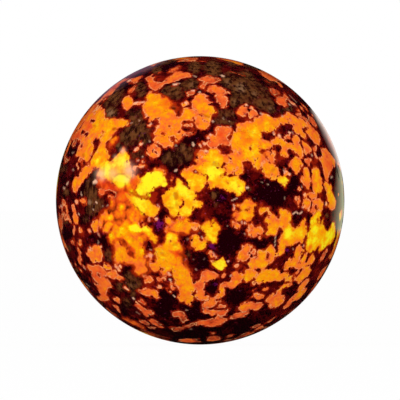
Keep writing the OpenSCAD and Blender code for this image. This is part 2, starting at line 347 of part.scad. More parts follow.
// Brown feldspar under the crown
crown_browns = [
    [[4.2, 24.8], [6, 25.6], [8.4, 25.2], [10.4, 24.2], [12.6, 22.8], [13.6, 21.6], [13.9, 20.2],
     [14.6, 18.8], [15, 17.4], [13.6, 17.6], [12, 17.9], [11.3, 18.6], [10, 18.9], [8.2, 19],
     [6.9, 18.4], [6.4, 19.6], [6.2, 21.2], [5, 22.4], [4.2, 23.4]],
    [[3.6, 18], [5, 17.6], [6.2, 18], [6.8, 17.2], [7, 16], [6.6, 15.2], [5.8, 14.8], [4.4, 14.9],
     [3.2, 15], [2.8, 15.9], [3.4, 16.8]],
    [[-7.2, 22.2], [-5.2, 22.9], [-3, 23.6], [-1.2, 23.4], [-0.4, 22.6], [-1.4, 22], [-2.8, 21.6],
     [-3.6, 20.4], [-4.8, 19.6], [-6, 20.4], [-7, 20.8]]
];

// Brown feldspar on the left shoulder
shoulder_browns = [
    [[-18.9, 19.2], [-17.8, 21.4], [-16.2, 22.6], [-15, 23], [-15.2, 21.4], [-15.6, 20.2],
     [-16.4, 18.6], [-16.6, 17.4], [-16.2, 16.4], [-18.4, 16.5], [-18.6, 18]],
    [[-13, 17.6], [-11.6, 17.8], [-11.4, 16.9], [-10.7, 15], [-9.6, 13.8], [-10.4, 12.2],
     [-11.8, 11.4], [-13.2, 10.6], [-14.4, 10.8], [-15.4, 11.6], [-15.6, 13], [-14.2, 14.4],
     [-13.8, 15.6], [-14.2, 16.6]],
    [[-12.4, 22], [-11.4, 23.2], [-10.6, 22.4], [-10.6, 21.2], [-11.4, 20.4], [-12.4, 20.6]]
];

// Brown feldspar at the left and lower left
lower_left_browns = [
    [[-22.3, 3.9], [-21.4, 4.3], [-20.6, 2.6], [-20.2, 1], [-19, 0], [-18.8, -1.2], [-20, -2.2],
     [-21.2, -3], [-22.4, -2.6], [-22.4, -1.5], [-21.8, -0.7], [-21.6, 0.2], [-22, 1], [-22.5, 2.4]],
    [[-15.4, -16.2], [-14.4, -14.4], [-13, -14.6], [-11.6, -15.4], [-11.2, -16.6], [-12.6, -17.2],
     [-13.4, -18.2], [-13.7, -17.2], [-14.3, -16.6], [-15.1, -16.6]],
    [[-18.7, -10], [-18.2, -9.4], [-17.6, -10.2], [-17.3, -11.8], [-17.8, -12.2], [-18.8, -11.8]]
];

// Brown feldspar slab above the middle
slab_brown = [
    [[-7.6, 8.6], [-6, 9.6], [-3.6, 10.4], [-1.6, 10.4], [-1.2, 9.2], [-2, 8], [-3.6, 7.4],
     [-5.4, 6.8], [-7.2, 7.4]]
];

// Violet flecks: [right, up, radius]
violet_spots = [
    [-8.2, -4.6, 0.6], [2.3, -9.5, 0.6], [3, -16.4, 0.55], [4.4, 0.6, 0.6], [17.4, -10.6, 0.4],
];

// ---- geometry helpers ----
function total(list, i = 0) = i < len(list) - 1 ? list[i] + total(list, i + 1) : list[i];
function unit(v) = v / norm(v);

// Distance in front of the ball's centre plane of the surface at a radius in the front view
function front_y(radius) = -sqrt(ball_r * ball_r - radius * radius);

// Longitude and latitude of a direction
function lon_of(v) = atan2(v[1], v[0]);
function lat_of(v) = asin(v[2] / norm(v));

// Tangent axes of the surface at a longitude and latitude: across south and across east
function south(lon, lat) = [sin(lat) * cos(lon), sin(lat) * sin(lon), -cos(lat)];
function east(lon, lat) = [-sin(lon), cos(lon), 0];

// A grain's prism that stands on the ball's radius through the middle of its corners
module radial_prism(corners, depth) {
    middle = unit(total([for (c = corners) unit(c)]));
    lon = lon_of(middle);
    lat = lat_of(middle);
    edge = min([for (c = corners) c * middle]);
    floor_r = edge - depth;
    rotate([0, 90 - lat, lon])
        translate([0, 0, floor_r])
            linear_extrude(ball_r + proud - floor_r)
                polygon([for (c = corners) [c * south(lon, lat), c * east(lon, lat)]]);
}

module ball() {
    rotate([0, 0, bare_lon])
        sphere(r = ball_r);
}

// A grain's prism that runs straight back from the viewer's side, from its front outline
module front_prism(outline, depth) {
    reach = plan_scale * max([for (p = outline) norm(p)]);
    floor_y = front_y(reach) + depth;
    translate([0, floor_y, 0])
        rotate([90, 0, 0])
            linear_extrude(ball_r + proud + floor_y)
                polygon(plan_scale * outline);
}

module front_prisms(outlines, depth) {
    for (o = outlines)
        front_prism(o, depth);
}

// ---- far side: grains spread by a golden spiral ----
golden_angle = 137.50776;
// Grain places nearer the viewer than this are left to the front outlines
far_start = -3;
// A far-side grain's corners lie between this share and all of its half-width from its middle
corner_reach_min = 0.62;
// A far-side grain's narrow width is between this share and all of its long width
narrow_min = 0.6;

// A strip along this meridian, on the viewer's right edge, and both poles have no far-side grain
bare_lon = -9;
bare_half_width = 3.2;

function place(i) =
    let (z = 1 - (2 * i + 1) / place_count, r = sqrt(1 - z * z), a = golden_angle * i)
    ball_r * [r * cos(a), r * sin(a), z];

function in_bare_strip(c) =
    let (along = c * [cos(bare_lon), sin(bare_lon), 0], across = c * east(bare_lon, 0))
    abs(across) < bare_half_width && along > -bare_half_width;

far_places = [
    for (i = [0 : place_count - 1])
        if (place(i)[1] > far_start && !in_bare_strip(place(i))) i
];

// What a place holds: a repeating mix of orange, yellow and brown grains
function kind(i) = i % 9 == 4 ? "brown" : i % 7 == 2 ? "yellow" : "orange";

// Repeatable number from 0 to 1 for a place and a use of it
function chance(i, use) =
    let (s = 43758.5453 * sin(12.9898 * i + 78.233 * use + far_pattern))
    s - floor(s);

// Ragged outline round a place: each corner is at its own distance from the middle
function ragged(i) =
    let (
        c = place(i), lon = lon_of(c), lat = lat_of(c),
        size = far_grain_r_min + (far_grain_r - far_grain_r_min) * chance(i, 1),
        turn = 360 * chance(i, 2),
        narrow = narrow_min + (1 - narrow_min) * chance(i, 3)
    )
    [for (k = [0 : far_corners - 1])
        let (
            a = 360 * k / far_corners,
            reach = size * (corner_reach_min + (1 - corner_reach_min) * chance(i, 4 + k)),
            u = reach * cos(a),
            v = reach * sin(a) * narrow,
            s = u * cos(turn) - v * sin(turn),
            t = u * sin(turn) + v * cos(turn)
        )
        ball_r * unit(c + s * south(lon, lat) + t * east(lon, lat))];

module far_prisms(wanted, depth, z_from = -ball_r, z_to = ball_r) {
    for (i = far_places)
        if (kind(i) == wanted && place(i)[2] >= z_from && place(i)[2] < z_to)
            radial_prism(ragged(i), depth);
}

// ---- violet flecks: small round grains ----
module fleck_prisms() {
    for (f = violet_spots) {
        centre = plan_scale * [f[0], f[1]];
        floor_y = front_y(norm(centre) + f[2]) + fleck_depth;
        translate([centre[0], floor_y, centre[1]])
            rotate([90, 0, 0])
                cylinder(r = f[2], h = ball_r + proud + floor_y);
    }
}

// ---- sub-parts ----
module all_prisms() {
    front_prisms(crown_grains, grain_depth);
    front_prisms(upper_left_grains, grain_depth);
    front_prisms(upper_right_grains, grain_depth);
    front_prisms(left_grains, grain_depth);
    front_prisms(centre_grains, grain_depth);
    front_prisms(right_grains, grain_depth);
    front_prisms(lower_left_grains, grain_depth);
    front_prisms(base_grains, grain_depth);
    front_prisms(lower_right_grains, grain_depth);
    front_prisms(left_yellows, grain_depth);
    front_prisms(centre_yellows, grain_depth);
    front_prisms(right_yellows, grain_depth);
    front_prisms(chip_outline, grain_depth);
    front_prisms(crown_browns, patch_depth);
    front_prisms(shoulder_browns, patch_depth);
    front_prisms(lower_left_browns, patch_depth);
    front_prisms(slab_brown, patch_depth);
    fleck_prisms();
    far_prisms("orange", grain_depth);
    far_prisms("yellow", grain_depth);
    far_prisms("brown", patch_depth);
}

module ground_mass() {
    color("#3a0a06")
        difference() {
            ball();
            all_prisms();
        }
}

module orange_grains(outlines) {
    color("#f08a1c")
        intersection() {
            ball();
            front_prisms(outlines, grain_depth);
        }
}

module yellow_grains(outlines) {
    color("#fcd326")
        intersection() {
            ball();
            front_prisms(outlines, grain_depth);
        }
}

module brown_feldspar(outlines) {
    color("#6b4a22")
        intersection() {
            ball();
            front_prisms(outlines, patch_depth);
        }
}

module violet_grains() {
    color("#7a1050")
        intersection() {
            ball();
            fleck_prisms();
        }
}

module far_grains(wanted, paint, depth, z_from = -ball_r, z_to = ball_r) {
    color(paint)
        intersection() {
            ball();
            far_prisms(wanted, depth, z_from, z_to);
        }
}

module orange_grains_crown() { orange_grains(crown_grains); }
module orange_grains_upper_left() { orange_grains(upper_left_grains); }
module orange_grains_upper_right() { orange_grains(upper_right_grains); }
module orange_grains_left() { orange_grains(left_grains); }
module orange_grains_centre() { orange_grains(centre_grains); }
module orange_grains_right() { orange_grains(right_grains); }
module orange_grains_lower_left() { orange_grains(lower_left_grains); }
module orange_grains_base() { orange_grains(base_grains); }
module orange_grains_lower_right() { orange_grains(lower_right_grains); }
module yellow_grains_left() { yellow_grains(left_yellows); }
module yellow_grains_centre() { yellow_grains(centre_yellows); }
module yellow_grains_right() { yellow_grains(right_yellows); }
module pale_yellow_chip() { yellow_grains(chip_outline); }
module brown_feldspar_crown() { brown_feldspar(crown_browns); }
module brown_feldspar_shoulder() { brown_feldspar(shoulder_browns); }
module brown_feldspar_lower_left() { brown_feldspar(lower_left_browns); }
module brown_feldspar_slab() { brown_feldspar(slab_brown); }
module violet_flecks() { violet_grains(); }
module orange_grains_back_upper() { far_grains("orange", "#f08a1c", grain_depth, z_from = 0); }
module orange_grains_back_lower() { far_grains("orange", "#f08a1c", grain_depth, z_to = 0); }
module yellow_grains_back() { far_grains("yellow", "#fcd326", grain_depth); }
module brown_feldspar_back() { far_grains("brown", "#6b4a22", patch_depth); }

ground_mass();
orange_grains_crown();
orange_grains_upper_left();
orange_grains_upper_right();
orange_grains_left();
orange_grains_centre();
orange_grains_right();
orange_grains_lower_left();
orange_grains_base();
orange_grains_lower_right();
yellow_grains_left();
yellow_grains_centre();
yellow_grains_right();
pale_yellow_chip();
brown_feldspar_crown();
brown_feldspar_shoulder();
brown_feldspar_lower_left();
brown_feldspar_slab();
violet_flecks();
orange_grains_back_upper();
orange_grains_back_lower();
yellow_grains_back();
brown_feldspar_back();
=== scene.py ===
"""A polished ball of mottled, glowing stone, worked out as a mosaic of mineral grains.

The ball is one sphere of rock, ground round and polished. Its minerals meet the surface flush:
a dark ground mass, ember-orange and yellow grains that glow, brown feldspar and violet flecks,
whose violet is a painted reflection of lamp light.
Each mineral sub-part is a closed solid that fills the pocket its neighbours leave.
Lengths in the tables are millimetres on the ball's front disc, right and up from its centre.
"""

import logging
import math
from collections.abc import Callable, Sequence
from dataclasses import dataclass, field
from enum import Enum

import bpy
import numpy as np
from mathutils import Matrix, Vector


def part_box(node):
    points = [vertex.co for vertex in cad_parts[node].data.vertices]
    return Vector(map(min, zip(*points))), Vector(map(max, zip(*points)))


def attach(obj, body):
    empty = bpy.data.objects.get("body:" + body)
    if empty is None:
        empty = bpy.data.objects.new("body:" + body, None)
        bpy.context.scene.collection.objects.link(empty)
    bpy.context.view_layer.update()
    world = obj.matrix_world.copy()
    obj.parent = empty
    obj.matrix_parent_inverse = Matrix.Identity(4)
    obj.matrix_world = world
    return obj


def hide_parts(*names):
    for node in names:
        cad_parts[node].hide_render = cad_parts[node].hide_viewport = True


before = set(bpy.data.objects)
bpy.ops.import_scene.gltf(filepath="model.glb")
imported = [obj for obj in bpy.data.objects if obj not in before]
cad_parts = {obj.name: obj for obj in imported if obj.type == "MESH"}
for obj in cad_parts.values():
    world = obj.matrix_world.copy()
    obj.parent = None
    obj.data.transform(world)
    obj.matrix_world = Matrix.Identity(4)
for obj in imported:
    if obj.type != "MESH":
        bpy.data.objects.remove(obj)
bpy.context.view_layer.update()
log = logging.getLogger("stone_ball")

MM = 0.001
# The radius of the ball that the outlines are drawn for, and of its far grains.
DRAWN_RADIUS = 28.575
# A signed distance that is surely outside every grain, and one surely away from every mark.
OUTSIDE = -9.0
FAR_AWAY = 99.0
# Less than this counts as no length.
TINY = 1e-9

Array = np.ndarray


class Mineral(Enum):
    """What a patch of the polished surface is made of."""

    GROUND = "dark_ground"
    ORANGE = "orange_grain"
    YELLOW = "yellow_grain"
    PALE_YELLOW = "pale_yellow_grain"
    FELDSPAR = "brown_feldspar"
    VIOLET = "violet_grain"


@dataclass(frozen=True)
class Grain:
    """One grain seen from the front.

    heat runs from -0.2, a dull ember, to 1, lemon yellow. soft runs from 0, a crisp edge with a
    pale rim, to 1, an edge that fades into the ground through red. outline holds one corner a
    row, right and up.
    """

    heat: float
    soft: float
    outline: Array


@dataclass(frozen=True)
class Blob:
    """A round stain on the front disc, at its strongest in the middle."""

    right: float
    up: float
    radius: float
    amount: float = 1.0


@dataclass(frozen=True)
class Streak:
    """A thin mark on the front disc from one end to the other, with rounded ends."""

    start_right: float
    start_up: float
    end_right: float
    end_up: float
    half_width: float
    amount: float = 1.0


@dataclass(frozen=True)
class Reflection:
    """A pale panel of the room, told by the patch that it lights on the polished face.

    spine holds the middle of the patch and half its width, [right, up, half width], from one end
    to the other. radiance is how bright the panel is, and profile its share from the side
    towards the disc's middle to the side towards the rim. The ends fade where fades is set.
    """

    name: str
    spine: tuple[tuple[float, float, float], ...]
    radiance: float
    tint: str
    profile: tuple[float, ...] = (0.0, 0.3, 0.7, 1.0, 1.0)
    fades: bool = True

    @property
    def corners(self) -> Array:
        """The patch as a grid: each spine point moved along the line from the disc's middle."""
        spine = np.array(self.spine)
        middle, half = spine[:, None, :2], spine[:, None, 2:]
        outward = middle / np.linalg.norm(middle, axis=2, keepdims=True)
        across = np.linspace(-1.0, 1.0, len(self.profile))[None, :, None]
        return middle + outward * half * across

    @property
    def strength(self) -> Array:
        """How bright the grid's points are: radiance times profile, and 0 at ends that fade."""
        along = np.ones(len(self.spine))
        if self.fades:
            along[[0, -1]] = 0.0
        return self.radiance * along[:, None] * np.array(self.profile)[None, :]


def rows(text: str) -> list[list[float]]:
    """The numbers of each entry of a list of entries parted by slashes."""
    return [[float(word) for word in entry.split()] for entry in text.split("/")]


def grains(text: str) -> list[Grain]:
    """Reads drawn grains.

    Args:
        text: Entries parted by slashes. Each is heat and soft in hundredths, and then the
            corners, right and up in turn, in tenths of a millimetre.

    Returns:
        The grains.
    """
    return [Grain(heat / 100, soft / 100, np.array(places).reshape(-1, 2) / 10)
            for heat, soft, *places in rows(text)]


def blobs(text: str) -> list[Blob]:
    """Reads stains: right, up, radius and amount for each."""
    return [Blob(*row) for row in rows(text)]


def streaks(text: str) -> list[Streak]:
    """Reads marks: both ends, half the width, and how strong the mark is where that isn't 1."""
    return [Streak(*row) for row in rows(text)]


# The front grains of each sub-part: heat and soft in hundredths, then corners in tenths of a
# millimetre, right and up in turn. Where grains overlap, the crisper lies on the softer.
# Grains along the rim are drawn with little heat, so the glow is painted in shade there.
FRONT_GRAINS: dict[str, str] = {
    "orange_grains_crown": """
45 10 -83 162 -81 152 -84 147 -89 144 -86 140 -91 134 -92 130 -89 126 -90 120 -88 115 -82 112 -77
109 -72 106 -66 103 -61 106 -56 106 -53 110 -54 115 -58 119 -60 122 -57 126 -52 129 -49 124 -47 118
-45 114 -41 119 -36 122 -33 128 -30 131 -27 133 -32 136 -38 140 -36 147 -37 152 -35 158 -38 164 / 20
20 -31 133 -26 134 -21 134 -17 135 -14 138 -13 136 -16 132 -20 129 -26 127 -30 129 / 15 10 -35 147
-29 149 -23 148 -19 150 -13 149 -12 147 -18 145 -26 144 -31 146 / 50 10 -10 158 -10 148 -6 143 -1
141 3 138 8 139 13 142 17 146 20 152 21 160 / 30 5 -103 147 -99 149 -96 152 -98 146 / 30 10 -107 241
-103 245 -98 247 -95 249 -96 245 -91 243 -92 240 -93 237 -88 233 -80 233 -77 232 -72 234 -66 240 -60
244 -54 248 -50 252 -44 254 -40 254 -34 251 -29 251 -25 250 -21 246 -20 242 -25 243 -30 243 -36 240
-42 237 -50 234 -58 232 -66 231 -72 228 -75 224 -80 220 -86 217 -92 218 -97 220 -100 224 -101 229
-103 233 -106 237 / 14 20 -62 255 -58 259 -52 261 -46 264 -42 266 -40 264 -45 260 -49 255 -54 253
-60 252 / 38 5 -37 189 -34 193 -28 196 -25 194 -24 190 -28 187 -32 184 -35 185 / 22 5 -28 212 -24
215 -18 216 -14 219 -11 216 -11 212 -15 208 -20 208 -25 210 / 20 5 -26 207 -23 208 -22 205 -25 203 /
25 5 -54 226 -50 229 -46 231 -47 227 -51 225 / 30 5 -28 252 -23 250 -19 245 -22 247 -26 249 / 50 10
-18 190 -15 196 -11 203 -7 208 -3 210 2 210 8 209 13 206 17 206 12 203 11 200 14 199 19 196 23 193
24 191 19 190 17 188 20 186 24 185 27 181 27 177 31 174 32 171 28 172 24 170 21 166 18 161 14 163 8
165 2 167 -3 170 -6 175 -9 178 -14 182 -17 186 / 50 10 -10 150 -10 158 -9 163 -5 168 1 167 8 164 15
162 20 158 21 152 17 148 / 22 15 -2 239 2 242 8 244 14 246 20 245 26 243 32 242 38 240 40 237 36 236
31 233 26 231 20 232 14 231 10 228 10 224 7 220 3 221 0 225 2 229 6 232 8 235 4 236 0 237 / 30 10 12
214 15 218 16 222 20 226 26 227 31 227 34 224 38 223 44 220 50 218 56 213 59 210 56 211 50 213 47
208 47 203 53 203 55 196 54 190 50 184 46 181 41 183 38 188 35 194 31 199 29 203 31 207 32 211 28
212 22 211 17 213 / 38 8 71 174 74 179 78 183 83 187 88 187 91 183 93 177 92 171 90 167 85 165 79
166 74 169 / 30 5 89 189 92 190 93 187 90 185 / 34 8 92 171 95 174 97 179 100 185 103 183 105 180
109 177 112 173 111 168 108 165 103 162 99 160 97 164 94 168
""",
    "orange_grains_upper_left": """
42 10 -104 98 -102 104 -100 109 -94 111 -88 111 -83 108 -80 103 -78 99 -79 94 -80 90 -82 92 -84 95
-83 90 -84 86 -88 83 -93 82 -98 84 -101 90 -104 93 / 15 30 -91 57 -89 63 -85 61 -80 62 -75 62 -70 59
-67 54 -69 50 -75 54 -84 57 / 35 5 -119 110 -117 114 -114 114 -113 110 -115 106 -117 106 / 40 5 -130
96 -128 95 -124 98 -121 102 -123 104 -127 101 / 35 5 -132 64 -130 67 -127 66 -126 61 -128 59 -131 60
/ 20 5 -125 79 -123 81 -120 77 -123 75 / 20 5 -114 78 -111 78 -110 75 -113 74 / 25 5 -124 66 -119 70
-113 68 -108 69 -108 66 -114 65 -121 65 / 32 20 -254 126 -250 131 -244 136 -238 142 -234 147 -231
153 -227 162 -218 164 -211 158 -210 146 -212 138 -219 133 -223 136 -229 137 -232 140 -234 134 -232
128 -233 122 -237 117 -241 121 -247 122 -251 118 -254 121 / 48 10 -246 88 -243 94 -240 99 -234 103
-231 109 -232 116 -229 122 -224 126 -219 124 -215 118 -212 110 -211 103 -211 95 -213 88 -217 81 -221
76 -227 77 -232 81 -238 86 / 54 20 -219 133 -214 145 -214 162 -200 164 -180 160 -160 158 -146 155
-141 153 -141 149 -146 147 -154 145 -160 143 -165 138 -170 130 -176 123 -182 118 -188 113 -187 107
-184 101 -181 95 -179 88 -180 82 -178 77 -184 75 -192 70 -197 66 -203 64 -210 65 -214 71 -216 76
-212 83 -209 89 -205 95 -201 101 -199 108 -198 116 -196 124 -192 132 -190 138 -195 131 -199 125 -203
121 -206 125 -210 118 -213 112 -216 120 -221 126 / 15 40 -224 74 -218 77 -212 80 -210 73 -206 66
-208 60 -214 62 -219 69 / 20 5 -241 79 -238 82 -235 79 -231 76 -232 73 -236 75 / 18 10 -253 109 -251
114 -247 119 -244 118 -246 112 -248 104 -250 107 / 6 20 -268 90 -266 85 -262 81 -258 82 -262 76 -266
75 -269 79 / 10 40 -182 112 -178 114 -175 110 -174 104 -178 103 -181 107 / 35 60 -176 114 -172 121
-168 126 -163 124 -164 118 -168 113 -173 110 / 30 10 -235 144 -231 153 -227 162 -223 168 -219 175
-215 182 -208 190 -202 196 -195 201 -190 202 -193 198 -198 193 -201 189 -199 185 -195 183 -193 180
-189 180 -188 173 -189 165 -189 161 -180 158 -200 150 -215 140 -225 140 / 55 10 -212 140 -214 150
-211 162 -204 172 -198 178 -192 179 -189 175 -189 166 -189 161 -178 160 -165 160 -152 159 -145 157
-141 153 -145 148 -155 144 -170 142 -190 140 / 48 10 -153 193 -151 198 -148 203 -143 206 -139 206
-136 203 -134 199 -132 195 -132 190 -135 185 -139 181 -142 178 -147 179 -150 183 -152 188 / 20 15
-141 215 -139 219 -134 222 -130 226 -127 225 -129 220 -132 216 -136 213 -140 213 / 20 20 -144 235
-141 238 -135 240 -128 242 -122 244 -115 244 -118 241 -122 237 -124 233 -130 232 -136 233 / 12 60
-78 208 -72 204 -64 200 -56 192 -50 186 -46 180 -50 176 -60 178 -70 176 -80 190 / 50 20 -105 203
-104 208 -101 212 -99 216 -95 213 -90 211 -84 209 -79 209 -76 206 -74 201 -70 200 -64 199 -60 195
-60 188 -62 182 -60 179 -54 178 -50 176 -48 171 -46 167 -43 164 -39 165 -36 169 -34 175 -30 182 -24
181 -18 180 -12 177 -6 176 -4 168 -8 162 -12 158 -16 156 -24 157 -30 157 -36 153 -38 146 -50 142 -70
140 -84 146 -81 152 -80 161 -85 163 -91 160 -96 156 -101 153 -102 157 -100 163 -104 166 -108 169
-111 174 -113 180 -112 186 -110 191 -107 196 / 30 5 -131 191 -127 194 -123 192 -118 194 -111 194
-117 192 -124 188 -129 188 / 30 5 -109 167 -106 169 -104 166 -107 163
""",
    "orange_grains_upper_right": """
30 10 30 138 31 143 35 145 42 147 49 145 56 142 62 139 62 134 58 130 55 127 54 122 57 118 59 113 58
108 53 109 47 111 41 110 37 111 34 107 32 103 27 103 22 103 17 105 14 108 11 111 6 112 5 109 3 112 6
115 11 113 16 116 19 120 16 124 13 125 17 128 20 131 24 129 29 127 31 132 / 45 40 14 92 17 99 24 104
32 104 37 98 40 92 48 88 58 86 62 92 66 98 64 104 60 110 62 118 66 122 72 110 74 98 70 88 60 84 50
84 40 84 28 88 / 52 15 62 128 65 133 71 137 71 146 77 153 84 150 92 156 104 155 112 158 130 162 150
162 160 158 161 152 155 146 150 141 145 137 136 135 128 136 121 135 118 129 120 121 126 117 134 116
138 114 144 112 146 108 142 103 134 102 124 101 118 102 117 95 122 89 124 82 122 75 119 68 119 61
113 60 107 64 103 71 98 76 92 80 86 78 83 73 84 66 85 59 80 55 74 50 66 50 61 54 55 51 50 56 46 62
45 67 50 71 58 74 60 82 54 88 62 92 66 98 62 104 60 110 62 118 65 123 / 48 10 140 117 144 120 150
125 158 122 164 119 170 114 176 111 184 112 182 118 183 124 187 129 192 126 196 120 195 114 198 108
200 101 203 93 203 86 199 82 195 87 190 92 184 97 180 100 177 104 172 102 170 96 172 90 174 83 168
86 162 88 156 92 158 97 162 101 160 107 155 112 148 110 142 112 / 50 15 175 74 180 80 186 84 190 87
194 84 198 79 201 72 200 65 196 58 191 51 186 54 182 60 178 66 174 70 / 45 10 183 155 188 162 198
162 204 158 210 153 212 147 207 144 202 141 203 136 207 131 210 124 206 122 200 126 194 130 189 132
184 137 183 143 185 149 / 42 10 200 112 202 116 207 114 213 109 218 104 220 99 217 94 212 91 207 92
205 99 203 105 / 35 10 206 162 214 155 219 147 225 141 231 135 235 128 237 121 237 115 235 109 230
110 225 114 220 119 215 126 212 132 208 136 212 140 214 146 210 150 208 156 / 22 10 222 103 225 107
229 108 230 103 228 99 224 98 / 22 10 224 96 228 92 230 86 234 83 230 82 226 87 / 25 10 207 78 211
82 213 86 217 82 219 78 216 73 214 66 210 73 / 40 10 234 82 238 86 242 88 240 95 239 102 245 101 251
102 254 96 259 90 263 84 267 78 266 70 262 63 257 58 254 50 252 42 253 36 248 38 246 44 245 52 243
60 240 67 240 74 / 35 10 165 123 166 129 172 130 177 128 176 122 170 121 / 30 5 144 130 145 137 147
136 147 129 / 20 5 153 128 156 130 159 128 157 126 / 35 5 173 134 176 136 178 134 176 131 / 30 5 4
110 9 114 13 112 12 109 7 108 / 48 15 104 153 108 162 114 165 119 168 121 171 128 169 134 168 136
165 142 163 148 160 152 158 156 163 160 162 164 166 168 170 172 173 178 171 184 168 189 165 194 160
198 156 190 150 184 150 182 144 178 150 170 150 164 150 160 152 150 145 130 140 110 145 / 8 20 136
222 142 221 150 217 156 215 154 210 150 205 145 208 140 214 / 22 10 149 197 151 202 156 206 161 204
164 208 168 209 172 206 173 202 170 198 171 192 170 187 164 186 158 188 153 192 / 15 5 172 201 175
200 180 195 186 191 190 187 186 188 179 192 / 28 5 191 178 194 180 197 176 199 172 195 173 / 22 10
188 169 194 172 199 173 200 168 206 165 212 161 212 157 206 160 200 163 194 167 / 16 15 213 167 219
166 224 160 228 154 231 147 228 145 223 150 218 154 214 158
""",
    "orange_grains_left": """
35 60 -165 -18 -162 -12 -158 -9 -153 -6 -148 -7 -146 -12 -148 -18 -151 -24 -155 -29 -160 -30 -164
-27 -166 -23 / 45 40 -150 -45 -148 -40 -144 -38 -141 -41 -140 -46 -142 -51 -146 -52 -149 -49 / 50 30
-138 -37 -134 -33 -128 -33 -122 -35 -120 -40 -123 -44 -130 -44 -135 -41 / 62 20 -181 -33 -179 -28
-175 -26 -172 -28 -170 -33 -171 -39 -175 -41 -179 -40 / 45 10 -195 -29 -192 -25 -187 -22 -182 -23
-181 -27 -180 -34 -182 -38 -186 -37 -190 -35 -194 -32 / 42 15 -199 -36 -195 -35 -192 -39 -192 -46
-194 -53 -197 -55 -199 -50 -200 -42 / 48 5 -213 -51 -212 -45 -210 -40 -207 -38 -203 -39 -200 -44
-200 -50 -201 -58 -204 -64 -208 -63 -211 -59 / 35 5 -221 -58 -219 -55 -216 -57 -215 -61 -216 -65
-219 -63 / 30 5 -202 -63 -199 -66 -197 -71 -200 -68 / 58 20 -190 -50 -186 -45 -181 -42 -175 -43 -172
-47 -174 -53 -178 -59 -180 -64 -185 -64 -190 -62 -191 -56 / 42 5 -224 -105 -222 -102 -218 -101 -214
-98 -212 -93 -209 -89 -205 -88 -200 -90 -197 -94 -193 -99 -192 -106 -192 -113 -194 -119 -198 -122
-202 -120 -205 -119 -208 -123 -211 -124 -213 -121 -216 -116 -219 -112 -222 -109 / 30 5 -221 -97 -219
-95 -217 -97 -219 -99 / 30 5 -218 -91 -216 -91 -214 -95 -216 -94 / 40 5 -197 -89 -195 -88 -195 -94
-197 -94 / 40 5 -237 1 -234 5 -229 5 -226 2 -225 -3 -223 -8 -226 -9 -230 -7 -234 -4 / 30 5 -247 -3
-244 0 -241 -1 -242 -5 -245 -7 / 38 5 -254 -10 -252 -7 -249 -8 -248 -13 -246 -20 -244 -28 -241 -33
-241 -39 -243 -44 -241 -47 -245 -47 -248 -43 -250 -38 -251 -32 -250 -28 -252 -22 -251 -16 -254 -14 /
28 5 -250 -50 -248 -50 -246 -55 -246 -59 -248 -66 -250 -66 -251 -62 -250 -56 / 35 5 -240 -57 -238
-53 -235 -54 -233 -58 -233 -61 -235 -64 -238 -63 -239 -60 / 22 5 -265 -12 -263 -12 -262 -18 -260 -24
-259 -31 -256 -38 -254 -45 -257 -42 -260 -36 -262 -30 -264 -22 / 3 10 -279 -32 -276 -31 -273 -36
-272 -44 -272 -52 -273 -58 -276 -58 -279 -52 -280 -44 / 18 5 -279 -12 -274 -11 -272 -13 -276 -14
-279 -14 / 15 15 -256 -79 -252 -80 -249 -77 -248 -83 -250 -87 -253 -86 / 28 10 -243 -83 -240 -80
-240 -77 -237 -77 -235 -80 -234 -85 -236 -89 -239 -87 -240 -84 / 22 10 -244 -90 -241 -92 -239 -96
-236 -100 -235 -105 -237 -108 -234 -112 -233 -116 -236 -120 -235 -124 -238 -126 -240 -121 -242 -116
-241 -112 -239 -108 -240 -102 -242 -97 -244 -94 / 30 5 -181 8 -178 11 -174 9 -171 5 -174 4 -177 6
-180 7 / 12 50 -201 45 -194 43 -186 40 -178 36 -172 30 -164 26 -156 24 -150 26 -144 20 -142 14 -140
4 -150 -6 -170 -10 -174 -4 -170 2 -167 8 -168 14 -174 18 -180 18 -186 16 -190 20 -194 26 -200 30
-202 38 / 45 60 -150 30 -146 36 -139 38 -136 30 -132 22 -128 15 -122 11 -112 8 -104 9 -98 14 -102 4
-112 3 -124 4 -136 8 -144 14 -149 22 / 12 50 -137 40 -133 46 -128 48 -122 47 -118 42 -120 36 -123 30
-126 24 -130 20 -134 25 -136 32 / 40 15 -199 20 -196 23 -191 22 -187 17 -189 12 -193 9 -197 12 -199
16 / 45 10 -252 32 -250 38 -248 44 -244 47 -240 45 -237 49 -236 55 -234 61 -230 66 -225 69 -219 69
-214 67 -212 62 -214 57 -217 53 -221 48 -226 44 -230 40 -233 35 -237 29 -240 23 -243 17 -246 15 -250
19 -252 26 / 20 5 -244 73 -242 72 -239 64 -241 62 -243 67
""",
